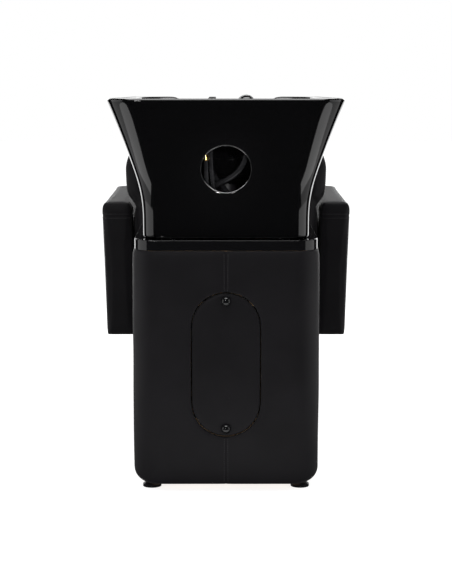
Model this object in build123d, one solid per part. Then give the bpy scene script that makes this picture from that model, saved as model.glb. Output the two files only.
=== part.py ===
from build123d import *
import math
import os

# Shampoo backwash unit: a padded cabinet that carries a tilting ceramic basin, with a chair in front of it.
# Millimetres. +Z is up. The operator stands at the -Y side, behind the basin, and the client's feet
# point to +Y.
# The origin is on the floor, in the middle of the footprint.
# Lengths along Y are first given from the cabinet's rear face, and at() turns them into frame coordinates.

# ---------------------------------------------------------------- driving dimensions
CABINET_WIDTH = 439.0
CABINET_DEPTH = 420.0
CABINET_BOTTOM = 17.0
CABINET_TOP = 574.0
CABINET_CORNER = 62.0
COVER_THICKNESS = 7.0
BOARD = 16.0

COLLAR_WIDTH = 430.0
COLLAR_DEPTH = 411.0
COLLAR_HEIGHT = 24.0
COLLAR_WALL = 4.0

RIM_HEIGHT = 925.0
RIM_DROP = 10.0
LIP_RADIUS = 8.0
SKIRT_GAP = 2.5
SKIRT_BASE_HALF_WIDTH = 196.0
SKIRT_BASE_REAR = 24.0
SKIRT_BASE_FRONT = 396.0
FLARE_START = 641.0
FLARE_RADIUS = 350.0
FLARE_ANGLE = 18.2
FRONT_FLARE = 1.39
RIM_SPREAD = 13.0
CERAMIC = 11.0
DECK_TOP = 862.0
DECK_THICKNESS = 12.0

SEAT_FRONT = 1075.0
SEAT_HALF_WIDTH = 243.0
SEAT_TOP = 455.0
SEAT_BOTTOM = 286.0
ARM_REAR = 520.0
ARM_FRONT = 1040.0
ARM_TOP = 635.0
BACK_LEAN = 5.5
BACK_TOP = 800.0

TILT_AXIS_Y = 360.0
TILT_AXIS_Z = 618.0
TILT_MAX = 6.0

MIXER_X = -41.0
SHOWER_X = 47.0
TAP_Y = 25.0
DRAIN_Y = 190.0

HATCH_WIDTH = 158.0
HATCH_HEIGHT = 338.0
HATCH_CENTRE_Z = 305.0
HATCH_GAP = 3.0
KNOB_SPACING = 304.0

FOOT_RADIUS = 22.0
FOOT_X = 177.0
FOOT_INSET = 57.0
LEG_X = 180.5
LEG_Y = 950.0

# ---------------------------------------------------------------- derived places
COLLAR_TOP = CABINET_TOP + COLLAR_HEIGHT
SKIRT_BOTTOM = COLLAR_TOP + SKIRT_GAP
CABINET_MIDDLE = CABINET_DEPTH / 2
FLARE_TAN = math.tan(math.radians(FLARE_ANGLE))
ARC_RISE = FLARE_RADIUS * math.sin(math.radians(FLARE_ANGLE))
ARC_OFFSET = FLARE_RADIUS * (1 - math.cos(math.radians(FLARE_ANGLE)))


def flare(z):
    """How far the skirt stands out at height z: upright, then an arc, then a straight slope."""
    rise = z - FLARE_START
    if rise <= 0:
        return 0.0
    if rise < ARC_RISE:
        return FLARE_RADIUS - math.sqrt(FLARE_RADIUS**2 - rise**2)
    return ARC_OFFSET + (rise - ARC_RISE) * FLARE_TAN


RIM_REAR = SKIRT_BASE_REAR - flare(RIM_HEIGHT - LIP_RADIUS)
ORIGIN_SHIFT = (RIM_REAR + SEAT_FRONT) / 2


def at(y):
    """A length from the cabinet's rear face, as a frame coordinate."""
    return y - ORIGIN_SHIFT


# ---------------------------------------------------------------- small builders
def block(x0, x1, y0, y1, z0, z1):
    return Pos((x0 + x1) / 2, at((y0 + y1) / 2), (z0 + z1) / 2) * Box(x1 - x0, y1 - y0, z1 - z0)


def rod_x(x0, x1, y, z, radius):
    return Pos((x0 + x1) / 2, at(y), z) * Rot(0, 90, 0) * Cylinder(radius, x1 - x0)


def rod_y(x, y0, y1, z, radius):
    return Pos(x, at((y0 + y1) / 2), z) * Rot(90, 0, 0) * Cylinder(radius, y1 - y0)


def rod_z(x, y, z0, z1, radius):
    return Pos(x, at(y), (z0 + z1) / 2) * Cylinder(radius, z1 - z0)


def slab(width, depth, corner, middle, z0, z1):
    """An upright block with a rounded-rectangle plan."""
    return extrude(Pos(0, at(middle), z0) * RectangleRounded(width, depth, corner), z1 - z0)


def stadium(width, height, y0, y1):
    """A slab with round ends, upright in the plane of the cabinet's rear face."""
    outline = Plane(origin=(0, at(y1), HATCH_CENTRE_Z), x_dir=(0, 0, 1), z_dir=(0, -1, 0))
    return extrude(outline * SlotOverall(height, width), y1 - y0)


def side_profile(points, x0, x1):
    """A polygon of (y, z) points, extruded along X."""
    plane = Plane(origin=(x0, 0, 0), x_dir=(0, 1, 0), z_dir=(1, 0, 0))
    face = make_face(plane * Polyline(*[(at(y), z) for y, z in points], close=True))
    return extrude(face, x1 - x0, dir=(1, 0, 0))


def rear_profile(points, y0, y1):
    """A polygon of (x, z) points, extruded along Y."""
    plane = Plane(origin=(0, at(y0), 0), x_dir=(1, 0, 0), z_dir=(0, -1, 0))
    face = make_face(plane * Polyline(*points, close=True))
    return extrude(face, y1 - y0, dir=(0, 1, 0))


def ring_z(x, y, z0, z1, outer, inner):
    return rod_z(x, y, z0, z1, outer) - rod_z(x, y, z0 - 1, z1 + 1, inner)


def hex_bolt_z(x, y, z_under_head, length, radius, up=True):
    """A hexagon bolt; its shank goes up from under its head, or down."""
    way = 1 if up else -1
    head_height = radius * 1.3
    head_z = z_under_head - head_height if up else z_under_head
    head = extrude(Pos(x, at(y), head_z) * RegularPolygon(radius * 1.9, 6), head_height)
    low, high = sorted((z_under_head, z_under_head + way * length))
    return head + rod_z(x, y, low, high, radius)


def together(shapes):
    """Separate solids that share one node."""
    return Compound(children=[solid for shape in shapes for solid in shape.solids()])


def mirrored(shape):
    return mirror(shape, about=Plane.YZ)


# ---------------------------------------------------------------- cabinet
CARCASS_WIDTH = CABINET_WIDTH - 2 * COVER_THICKNESS
CARCASS_DEPTH = CABINET_DEPTH - 2 * COVER_THICKNESS
CARCASS_CORNER = CABINET_CORNER - COVER_THICKNESS
CARCASS_REAR = COVER_THICKNESS
CARCASS_FRONT = CABINET_DEPTH - COVER_THICKNESS
WALL_TOP = CABINET_TOP - BOARD
HOSE_OPENING_HALF = 105.0
HOSE_OPENING_REAR = 90.0
HOSE_OPENING_FRONT = 300.0
OUTLET_Y = 262.0
OUTLET_HOLE = 31.0
HEM_RADIUS = 28.0


def hatch_hole():
    return stadium(HATCH_WIDTH + 2 * HATCH_GAP, HATCH_HEIGHT + 2 * HATCH_GAP, -5, 30)


def hose_opening(z0, z1):
    depth = HOSE_OPENING_FRONT - HOSE_OPENING_REAR
    middle = (HOSE_OPENING_FRONT + HOSE_OPENING_REAR) / 2
    return slab(2 * HOSE_OPENING_HALF, depth, 20, middle, z0, z1)


def carcass_envelope():
    """The space of the bare carcass; its lower edges are rounded, and the cover follows them."""
    envelope = slab(CARCASS_WIDTH, CARCASS_DEPTH, CARCASS_CORNER, CABINET_MIDDLE, CABINET_BOTTOM, CABINET_TOP)
    return fillet(envelope.edges().group_by(Axis.Z)[0], HEM_RADIUS - 4)


def cabinet_boards():
    half = CARCASS_WIDTH / 2
    flat_half = half - CARCASS_CORNER
    rear = block(-flat_half, flat_half, CARCASS_REAR, CARCASS_REAR + BOARD, CABINET_BOTTOM, WALL_TOP)
    rear -= hatch_hole()
    front = block(-flat_half, flat_half, CARCASS_FRONT - BOARD, CARCASS_FRONT, CABINET_BOTTOM, WALL_TOP)
    for x in (-FRAME_BOLT_X, FRAME_BOLT_X):
        for z in FRAME_BOLT_Z:
            front -= rod_y(x, CARCASS_FRONT - BOARD - 1, CARCASS_FRONT + 1, z, 4.3)
    side = block(
        half - BOARD, half, CARCASS_REAR + CARCASS_CORNER, CARCASS_FRONT - CARCASS_CORNER, CABINET_BOTTOM, WALL_TOP
    )
    walls = slab(CARCASS_WIDTH, CARCASS_DEPTH, CARCASS_CORNER, CABINET_MIDDLE, CABINET_BOTTOM, WALL_TOP) - slab(
        CARCASS_WIDTH - 2 * BOARD,
        CARCASS_DEPTH - 2 * BOARD,
        CARCASS_CORNER - BOARD,
        CABINET_MIDDLE,
        CABINET_BOTTOM - 1,
        WALL_TOP + 1,
    )
    rear_y, front_y = CARCASS_REAR + CARCASS_CORNER, CARCASS_FRONT - CARCASS_CORNER
    corner = walls & block(flat_half, half, CARCASS_REAR, rear_y, CABINET_BOTTOM, WALL_TOP)
    far_corner = walls & block(flat_half, half, front_y, CARCASS_FRONT, CABINET_BOTTOM, WALL_TOP)
    floor = slab(
        CARCASS_WIDTH - 2 * BOARD,
        CARCASS_DEPTH - 2 * BOARD,
        CARCASS_CORNER - BOARD,
        CABINET_MIDDLE,
        CABINET_BOTTOM,
        CABINET_BOTTOM + BOARD,
    )
    for x, y in cabinet_feet():
        floor -= rod_z(x, y, CABINET_BOTTOM - 1, CABINET_BOTTOM + BOARD + 1, SOCKET_RADIUS)
    floor -= rod_z(0, OUTLET_Y, CABINET_BOTTOM - 1, CABINET_BOTTOM + BOARD + 1, OUTLET_HOLE)
    top = slab(CARCASS_WIDTH, CARCASS_DEPTH, CARCASS_CORNER, CABINET_MIDDLE, WALL_TOP, CABINET_TOP)
    top -= hose_opening(WALL_TOP - 1, CABINET_TOP + 1)
    for x, y in base_bolt_places():
        top -= rod_z(x, y, WALL_TOP - 1, CABINET_TOP + 1, 4.05)
    envelope = carcass_envelope()
    side = side & envelope
    corners = [corner & envelope, far_corner & envelope]
    return {
        "cabinet_rear_board": rear & envelope,
        "cabinet_front_board": front & envelope,
        "cabinet_side_boards": together([side, mirrored(side)]),
        "cabinet_corner_posts": together(corners + [mirrored(post) for post in corners]),
        "cabinet_floor_board": floor & envelope,
        "cabinet_top_board": top,
    }


def cabinet_cover():
    cover = slab(CABINET_WIDTH, CABINET_DEPTH, CABINET_CORNER, CABINET_MIDDLE, CABINET_BOTTOM, CABINET_TOP)
    cover = fillet(cover.edges().group_by(Axis.Z)[0], HEM_RADIUS) - carcass_envelope()
    cover -= hatch_hole()
    plate_half = FRAME_PLATE_HALF + 1
    low, high = RAIL_BOTTOM - 25, RAIL_TOP + 25
    cover -= block(-plate_half, plate_half, CARCASS_FRONT - 1, CABINET_DEPTH + 1, low, high)
    return cover


def collar_trim():
    """The gloss tray between the padded cabinet and the basin: a band with a flat top and a large opening."""
    band = slab(COLLAR_WIDTH, COLLAR_DEPTH, 57, CABINET_MIDDLE, CABINET_TOP, COLLAR_TOP)
    band = fillet(band.edges().group_by(Axis.Z)[-1], 2.0)
    inner = slab(
        COLLAR_WIDTH - 2 * COLLAR_WALL,
        COLLAR_DEPTH - 2 * COLLAR_WALL,
        57 - COLLAR_WALL,
        CABINET_MIDDLE,
        CABINET_TOP - 1,
        COLLAR_TOP - COLLAR_WALL,
    )
    return band - inner - slab(344, 343, 30, 216.5, CABINET_TOP - 1, COLLAR_TOP + 1)


# ---------------------------------------------------------------- service hatch
CROSSBAR_REAR = CARCASS_REAR + BOARD
CROSSBAR_FRONT = CROSSBAR_REAR + 12
KNOB_ZS = {"upper": HATCH_CENTRE_Z + KNOB_SPACING / 2, "lower": HATCH_CENTRE_Z - KNOB_SPACING / 2}
STUD_RADIUS = 3.0
LATH_GAP_HALF = 5.0
LATH_REACH = 16.0
RUNNING = 0.06


def hatch_crossbars():
    """Two pairs of laths behind the hatch, with a gap in each pair for a knob's stud."""
    laths = []
    for z in KNOB_ZS.values():
        for side in (-1, 1):
            low, high = sorted((z + side * LATH_GAP_HALF, z + side * LATH_REACH))
            laths.append(block(-115, 115, CROSSBAR_REAR, CROSSBAR_FRONT, low, high))
    return together(laths)


def hatch_inserts():
    """Threaded blocks held in the gaps of the laths."""
    inserts = []
    for z in KNOB_ZS.values():
        body = block(-10, 10, CROSSBAR_REAR, CROSSBAR_FRONT, z - LATH_GAP_HALF, z + LATH_GAP_HALF)
        inserts.append(body - rod_y(0, CROSSBAR_REAR - 1, CROSSBAR_FRONT + 1, z, STUD_RADIUS + RUNNING))
    return together(inserts)


def hatch_parts():
    """A board in a padded cap; its pad stands just proud of the cabinet's rear face."""
    board_rear = 11.0
    board = stadium(HATCH_WIDTH - 4, HATCH_HEIGHT - 4, board_rear, CROSSBAR_REAR - 0.3)
    cap = stadium(HATCH_WIDTH, HATCH_HEIGHT, -1.5, CROSSBAR_REAR - 0.3) - stadium(
        HATCH_WIDTH - 4, HATCH_HEIGHT - 4, board_rear, CROSSBAR_REAR + 1
    )
    for z in KNOB_ZS.values():
        hole = rod_y(0, -3, CROSSBAR_REAR + 1, z, STUD_RADIUS + RUNNING)
        board -= hole
        cap -= hole
    return board, cap


def hatch_knob(z):
    """A domed thumb knob on a threaded stud."""
    foot = (Align.CENTER, Align.CENTER, Align.MIN)
    dome = Pos(0, at(-1.8), z) * Rot(90, 0, 0) * Sphere(12.0, arc_size1=0, align=foot)
    return dome + rod_y(0, -2.4, CROSSBAR_FRONT + 3, z, STUD_RADIUS)


# ---------------------------------------------------------------- feet
SOCKET_RADIUS = 7.0
SOCKET_DEPTH = 14.0
FOOT_STUD_RADIUS = 4.0


def cabinet_feet():
    return [
        (x, y)
        for y in (FOOT_INSET, CABINET_DEPTH - FOOT_INSET)
        for x in (-FOOT_X, FOOT_X)
    ]


def leg_feet():
    return [(-LEG_X, LEG_Y), (LEG_X, LEG_Y)]


def levelling_foot(x, y):
    """A nylon pad with a sloped rim, and the steel stud that turns it up or down in its socket."""
    pad = rod_z(x, y, 0, 6, FOOT_RADIUS) + Pos(x, at(y), 8.5) * Cone(FOOT_RADIUS, FOOT_RADIUS - 6, 5)
    pad += rod_z(x, y, 11, 15, 9)
    stud_bottom = 15.0
    stud = rod_z(x, y, stud_bottom, CABINET_BOTTOM + SOCKET_DEPTH + 6, FOOT_STUD_RADIUS)
    return together([pad, stud])


def foot_sockets():
    """Threaded sockets: one in each corner of the cabinet's floor, and one in the end of each leg."""
    sockets = []
    for x, y in cabinet_feet():
        bore = FOOT_STUD_RADIUS + RUNNING
        sockets.append(ring_z(x, y, CABINET_BOTTOM, CABINET_BOTTOM + BOARD, SOCKET_RADIUS, bore))
    for x, y in leg_feet():
        plug = block(x - LEG_HALF_X, x + LEG_HALF_X, y - LEG_HALF_Y, y + LEG_HALF_Y, 25, 41)
        sockets.append(plug - rod_z(x, y, 24, 42, FOOT_STUD_RADIUS + RUNNING))
    return together(sockets)


# ---------------------------------------------------------------- chair frame
RAIL_BOTTOM = 241.0
RAIL_TOP = 281.0
RAIL_X = 150.0
RAIL_HALF = 15.0
TUBE_WALL = 2.5
LEG_HALF_X = 13.0
LEG_HALF_Y = 18.0
BAR_TOP = SEAT_BOTTOM
BAR_REACH = 308.0
BAR_YS = (680.0, 950.0)
BAR_HALF = 20.0
FRAME_PLATE_HALF = 168.0
FRAME_BOLT_X = 120.0
FRAME_BOLT_Z = (228.0, 294.0)
ARM_BOLT_X = 281.0
SEAT_BOLT_X = 110.0
BACK_PIVOT_Y = 556.0
BACK_PIVOT_Z = 300.0
UPRIGHT_X = 150.0
BACK_SCREW_ZS = (350.0, 400.0)


def lean_back(shape):
    """Leans a piece made upright, so that its top goes towards the basin."""
    pivot = Pos(0, at(BACK_PIVOT_Y), BACK_PIVOT_Z)
    return pivot * Rot(BACK_LEAN, 0, 0) * Pos(0, -at(BACK_PIVOT_Y), -BACK_PIVOT_Z) * shape


def box_tube(x0, x1, y0, y1, z0, z1, along):
    """A rectangular steel tube, open at its ends along one axis."""
    w = TUBE_WALL
    trim = {"x": (-1, w, w), "y": (w, -1, w), "z": (w, w, -1)}[along]
    hollow = block(
        x0 + trim[0], x1 - trim[0], y0 + trim[1], y1 - trim[1], z0 + trim[2], z1 - trim[2]
    )
    return block(x0, x1, y0, y1, z0, z1) - hollow


def chair_frame():
    rail_end = LEG_Y + LEG_HALF_Y + 14
    plate_front = CARCASS_FRONT + 6
    frame = block(-FRAME_PLATE_HALF, FRAME_PLATE_HALF, CARCASS_FRONT, plate_front, RAIL_BOTTOM - 24, RAIL_TOP + 24)
    for x in (-FRAME_BOLT_X, FRAME_BOLT_X):
        for z in FRAME_BOLT_Z:
            frame -= rod_y(x, CARCASS_FRONT - 1, CARCASS_FRONT + 7, z, 4.3)
    for side in (-1, 1):
        middle = side * RAIL_X
        left, right = middle - RAIL_HALF, middle + RAIL_HALF
        frame += box_tube(left, right, plate_front, rail_end, RAIL_BOTTOM, RAIL_TOP, "y")
        leg = side * LEG_X
        frame += box_tube(
            leg - LEG_HALF_X - TUBE_WALL,
            leg + LEG_HALF_X + TUBE_WALL,
            LEG_Y - LEG_HALF_Y - TUBE_WALL,
            LEG_Y + LEG_HALF_Y + TUBE_WALL,
            25,
            RAIL_TOP,
            "z",
        )
        upright = block(
            side * UPRIGHT_X - 18,
            side * UPRIGHT_X + 18,
            BACK_PIVOT_Y + 14,
            BACK_PIVOT_Y + 20,
            RAIL_BOTTOM + 20,
            430,
        )
        for z in BACK_SCREW_ZS:
            upright -= rod_y(side * UPRIGHT_X, BACK_PIVOT_Y, BACK_PIVOT_Y + 40, z, 3.2)
        frame += lean_back(upright)
    for y in BAR_YS:
        frame += block(-BAR_REACH, BAR_REACH, y - BAR_HALF, y + BAR_HALF, RAIL_TOP, BAR_TOP)
        for x in (-ARM_BOLT_X, ARM_BOLT_X):
            frame -= rod_z(x, y, RAIL_TOP - 1, BAR_TOP + 1, 4.3)
        for x in (-SEAT_BOLT_X, SEAT_BOLT_X):
            frame -= rod_z(x, y, RAIL_TOP - 1, BAR_TOP + 1, 4.3)
    inner = RAIL_X - RAIL_HALF
    frame += box_tube(-inner - 2, inner + 2, 690, 715, RAIL_BOTTOM + 8, RAIL_TOP - 8, "x")
    stretcher = LEG_X - LEG_HALF_X - TUBE_WALL
    frame += box_tube(-stretcher - 1, stretcher + 1, LEG_Y - 12, LEG_Y + 12, 90, 114, "x")
    return frame


def chair_bolts():
    """Bolts through the cross bars into the armrests and seat board, and screws into the back's board."""
    bolts = []
    for y in BAR_YS:
        for x in (-ARM_BOLT_X, ARM_BOLT_X):
            bolts.append(hex_bolt_z(x, y, RAIL_TOP, 45, 4.0))
        for x in (-SEAT_BOLT_X, SEAT_BOLT_X):
            bolts.append(hex_bolt_z(x, y, RAIL_TOP, 20, 4.0))
    for x in (-UPRIGHT_X, UPRIGHT_X):
        for z in BACK_SCREW_ZS:
            head = rod_y(x, BACK_PIVOT_Y + 10, BACK_PIVOT_Y + 14, z, 5.5)
            bolts.append(lean_back(head + rod_y(x, BACK_PIVOT_Y + 14, BACK_PIVOT_Y + 33, z, 3.0)))
    return together(bolts)


# ---------------------------------------------------------------- seat, back and arms
BACK_BOARD_Y = BACK_PIVOT_Y + 20.0
BACK_BOARD_THICKNESS = 15.0
BACK_THICKNESS = 82.0
SHOULDER_HALF = 263.0
WAIST_HALF = 242.0


def seat_parts():
    front = SEAT_FRONT
    rear = BACK_PIVOT_Y + BACK_THICKNESS + 3
    inner = SEAT_HALF_WIDTH - 8
    board = block(-inner, inner, rear + 8, front - 12, SEAT_BOTTOM, SEAT_BOTTOM + BOARD)
    for y in BAR_YS:
        for x in (-SEAT_BOLT_X, SEAT_BOLT_X):
            board -= rod_z(x, y, SEAT_BOTTOM - 1, SEAT_BOTTOM + BOARD + 1, 4.05)
    step = 362.0
    base_pad = block(-SEAT_HALF_WIDTH, SEAT_HALF_WIDTH, rear, front - 4, SEAT_BOTTOM, step) - block(
        -SEAT_HALF_WIDTH + 8, SEAT_HALF_WIDTH - 8, rear + 8, front - 12, SEAT_BOTTOM - 1, SEAT_BOTTOM + BOARD
    )
    for y in BAR_YS:
        for x in (-SEAT_BOLT_X, SEAT_BOLT_X):
            base_pad -= rod_z(x, y, SEAT_BOTTOM, SEAT_BOTTOM + BOARD + 6, 4.5)
    lean = math.tan(math.radians(BACK_LEAN))
    cushion = side_profile(
        [
            (rear - (step - BACK_PIVOT_Z) * lean, step),
            (front - 8, step),
            (front, step + 12),
            (front, SEAT_TOP - 26),
            (front - 8, SEAT_TOP - 8),
            (front - 26, SEAT_TOP),
            (rear - (SEAT_TOP - BACK_PIVOT_Z) * lean + 18, SEAT_TOP),
            (rear - (SEAT_TOP - 16 - BACK_PIVOT_Z) * lean, SEAT_TOP - 16),
        ],
        -SEAT_HALF_WIDTH,
        SEAT_HALF_WIDTH,
    )
    return board, base_pad, cushion


def back_parts():
    """The backrest: wide shoulders over the armrests, a waist between them, and a board inside."""
    rear, front = BACK_PIVOT_Y, BACK_PIVOT_Y + BACK_THICKNESS
    outline = [
        (-WAIST_HALF, 304),
        (WAIST_HALF, 304),
        (WAIST_HALF, 630),
        (SHOULDER_HALF, 665),
        (SHOULDER_HALF, 740),
        (SHOULDER_HALF - 16, 782),
        (SHOULDER_HALF - 58, BACK_TOP),
    ]
    outline += [(-x, z) for x, z in reversed(outline[2:])]
    cushion = rear_profile(outline, rear, front)
    board = block(-220, 220, BACK_BOARD_Y, BACK_BOARD_Y + BACK_BOARD_THICKNESS, 290, 770)
    cushion -= block(-220, 220, BACK_BOARD_Y, BACK_BOARD_Y + BACK_BOARD_THICKNESS, 262, 770)
    for x in (-UPRIGHT_X, UPRIGHT_X):
        cushion -= block(x - 24, x + 24, rear + 4, BACK_BOARD_Y + 1, 262, 436)
        for z in BACK_SCREW_ZS:
            board -= rod_y(x, rear, front, z, 3.05)
    return lean_back(board), lean_back(cushion)


def arm_parts():
    """One armrest, on the +X side: a timber core in a padded cover that widens and leans out upwards."""
    outline = [
        (246.5, SEAT_BOTTOM),
        (314.5, SEAT_BOTTOM),
        (322.8, ARM_TOP - 9),
        (314, ARM_TOP),
        (262, ARM_TOP),
        (253.2, ARM_TOP - 9),
    ]
    slab_shape = rear_profile(outline, ARM_REAR, ARM_FRONT)
    core_top = ARM_TOP - 28
    core_outline = [(259.5, SEAT_BOTTOM), (302.5, SEAT_BOTTOM), (308, core_top), (266, core_top)]
    core = rear_profile(core_outline, ARM_REAR + 14, ARM_FRONT - 14)
    cover = slab_shape - core
    for y in BAR_YS:
        core -= rod_z(ARM_BOLT_X, y, SEAT_BOTTOM - 1, SEAT_BOTTOM + 44, 4.05)
    return core, cover


# ---------------------------------------------------------------- tilt mechanism
BASE_TOP = CABINET_TOP + 5.0
EAR_INNER = 128.0
EAR_THICKNESS = 6.0
AXLE_RADIUS = 6.0
BUSH_RADIUS = 9.0
ARM_INNER = 146.0
ARM_OUTER = 174.0
CRADLE_REAR = 50.0
CRADLE_BOTTOM = 626.0
CRADLE_TOP = 632.0
LUG_X = 164.0
LUG_BOTTOM = 640.0
LUG_TOP = 665.0
LUG_YS = (110.0, 310.0)
BUFFER_X = 158.0
BUFFER_Y = 70.0
STUD_Y = 103.0
STUD_Z = 646.0
LOCK_RADIUS = math.hypot(TILT_AXIS_Y - STUD_Y, STUD_Z - TILT_AXIS_Z)
LOCK_START = math.degrees(math.atan2(STUD_Z - TILT_AXIS_Z, TILT_AXIS_Y - STUD_Y))
QUADRANT_X = -125.0
QUADRANT_THICKNESS = 5.0
SLOT_HALF = 5.2


def base_bolt_places():
    return [(x, y) for x in (-150.0, 150.0) for y in (150.0, 330.0)]


def tilt_base():
    """The fixed plate on the cabinet, with two ears that hold the tilting axle."""
    plate = block(-168, 168, 55, 384, CABINET_TOP, BASE_TOP) - hose_opening(CABINET_TOP - 1, BASE_TOP + 1)
    for x, y in base_bolt_places():
        plate -= rod_z(x, y, CABINET_TOP - 1, BASE_TOP + 1, 4.3)
    ear = block(EAR_INNER, EAR_INNER + EAR_THICKNESS, 338, 382, BASE_TOP, TILT_AXIS_Z)
    ear += rod_x(EAR_INNER, EAR_INNER + EAR_THICKNESS, TILT_AXIS_Y, TILT_AXIS_Z, 22)
    ear -= rod_x(EAR_INNER - 1, EAR_INNER + EAR_THICKNESS + 1, TILT_AXIS_Y, TILT_AXIS_Z, BUSH_RADIUS)
    return plate + ear + mirrored(ear)


def axle_bushes():
    bush = rod_x(EAR_INNER, EAR_INNER + EAR_THICKNESS, TILT_AXIS_Y, TILT_AXIS_Z, BUSH_RADIUS)
    bush += rod_x(EAR_INNER - 2, EAR_INNER, TILT_AXIS_Y, TILT_AXIS_Z, BUSH_RADIUS + 3)
    ear_outer = EAR_INNER + EAR_THICKNESS
    bush -= rod_x(EAR_INNER - 3, ear_outer + 1, TILT_AXIS_Y, TILT_AXIS_Z, AXLE_RADIUS + RUNNING)
    return together([bush, mirrored(bush)])


def tilt_axle():
    return rod_x(-150, 150, TILT_AXIS_Y, TILT_AXIS_Z, AXLE_RADIUS)


def tilt_cradle():
    """The frame under the basin: two arms with ears for the axle, a rear bar, and the lock's tab."""
    arm = block(ARM_INNER, ARM_OUTER, CRADLE_REAR + 4, 344, CRADLE_BOTTOM, CRADLE_TOP)
    arm += block(136, 156, 340, 376, CRADLE_BOTTOM, CRADLE_TOP)
    ear = block(136, 142, 344, 376, TILT_AXIS_Z, CRADLE_BOTTOM)
    ear += rod_x(136, 142, TILT_AXIS_Y, TILT_AXIS_Z, 16)
    arm += ear
    for y in LUG_YS:
        arm -= rod_z(LUG_X, y, CRADLE_BOTTOM - 1, CRADLE_TOP + 1, 4.3)
    arm -= rod_x(135, 143, TILT_AXIS_Y, TILT_AXIS_Z, AXLE_RADIUS)
    tab_side = QUADRANT_X + QUADRANT_THICKNESS + 2
    tab = block(tab_side, tab_side + 6, CRADLE_REAR, STUD_Y + 14, CRADLE_BOTTOM, STUD_Z + 14)
    tab -= rod_x(tab_side - 1, tab_side + 7, STUD_Y, STUD_Z, 4.0 + RUNNING)
    bar = block(-ARM_INNER - 6, ARM_INNER + 6, CRADLE_REAR, CRADLE_REAR + 16, CRADLE_BOTTOM, CRADLE_TOP)
    return arm + mirrored(arm) + bar + tab


def cradle_pads():
    return together([ring_z(x, y, CRADLE_TOP, LUG_BOTTOM, 13, 4.3) for x in (-LUG_X, LUG_X) for y in LUG_YS])


def cradle_bolts():
    return together([hex_bolt_z(x, y, CRADLE_BOTTOM, 29, 4.0) for x in (-LUG_X, LUG_X) for y in LUG_YS])


def rest_buffers():
    """Rubber stops that the tilting cradle rests on when the basin is level."""
    buffers = []
    for x in (-BUFFER_X, BUFFER_X):
        foot = rod_z(x, BUFFER_Y, BASE_TOP, BASE_TOP + 4, 10)
        buffers.append(foot + rod_z(x, BUFFER_Y, BASE_TOP + 4, CRADLE_BOTTOM - 0.3, 8))
    return together(buffers)


def lock_point(turn):
    """Where the lock's stud stands in its slot, as (y, z), when the basin is tilted by turn degrees."""
    angle = math.radians(LOCK_START + turn)
    return TILT_AXIS_Y - LOCK_RADIUS * math.cos(angle), TILT_AXIS_Z + LOCK_RADIUS * math.sin(angle)


def lock_quadrant():
    """An upright built of flat bars, whose slot lets the lock's stud rise as the basin tilts."""
    x0, x1 = QUADRANT_X, QUADRANT_X + QUADRANT_THICKNESS
    low_y, low_z = lock_point(-1.0)
    high_y, high_z = lock_point(TILT_MAX + 1)
    bottom, top = low_z - SLOT_HALF, high_z + SLOT_HALF
    rear, front = STUD_Y - 16, STUD_Y + 18
    bars = [block(x0, x1, rear, front, BASE_TOP + 4, bottom), block(x0, x1, rear, front, top, top + 12)]
    for edge, side in ((rear, -1), (front, 1)):
        slot = side * SLOT_HALF
        corners = [(edge, bottom), (low_y + slot, bottom), (high_y + slot, top), (edge, top)]
        bars.append(side_profile(corners, x0, x1))
    foot = block(x0 - 32, x1, rear, front, BASE_TOP, BASE_TOP + 4)
    for y in quadrant_screw_ys():
        foot -= rod_z(QUADRANT_X - 18, y, BASE_TOP - 1, BASE_TOP + 5, 2.7)
    return together(bars + [foot])


def quadrant_screw_ys():
    return (STUD_Y - 7, STUD_Y + 9)


def lock_handle():
    """A clamping lever whose stud runs through the quadrant's slot and the cradle's tab."""
    hub_end = QUADRANT_X - 1
    hub = rod_x(hub_end - 14, hub_end, STUD_Y, STUD_Z, 10)
    reach_y, reach_z = STUD_Y - 56, STUD_Z + 12
    length = math.hypot(56, 12)
    lean = math.degrees(math.atan2(-12, 56))
    middle = Pos(hub_end - 7, at((STUD_Y + reach_y) / 2), (STUD_Z + reach_z) / 2)
    grip = middle * Rot(lean, 0, 0) * Box(9, length, 9)
    knob = Pos(hub_end - 7, at(reach_y), reach_z) * Sphere(8)
    tab_end = QUADRANT_X + QUADRANT_THICKNESS + 8
    stud = rod_x(hub_end, tab_end + 3, STUD_Y, STUD_Z, 4.0)
    nut = rod_x(tab_end + 3, tab_end + 9, STUD_Y, STUD_Z, 7)
    return hub + grip + knob + stud + nut


def cabinet_bolts():
    """The bolts that go into the cabinet: the tilt base's, the quadrant's and the chair frame's."""
    bolts = []
    for x, y in base_bolt_places():
        nut = rod_z(x, y, WALL_TOP - 6.5, WALL_TOP, 7)
        bolts.append(hex_bolt_z(x, y, BASE_TOP, 31, 4.0, up=False) + nut)
    for y in quadrant_screw_ys():
        bolts.append(hex_bolt_z(QUADRANT_X - 18, y, BASE_TOP + 4, 4, 2.5, up=False))
    for x in (-FRAME_BOLT_X, FRAME_BOLT_X):
        for z in FRAME_BOLT_Z:
            shank = rod_y(x, CARCASS_FRONT - BOARD - 9, CARCASS_FRONT + 6, z, 4.2)
            head = rod_y(x, CARCASS_FRONT + 6, CARCASS_FRONT + 11.3, z, 7)
            nut = rod_y(x, CARCASS_FRONT - BOARD - 6.5, CARCASS_FRONT - BOARD, z, 7)
            bolts.append(shank + head + nut)
    return together(bolts)


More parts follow.
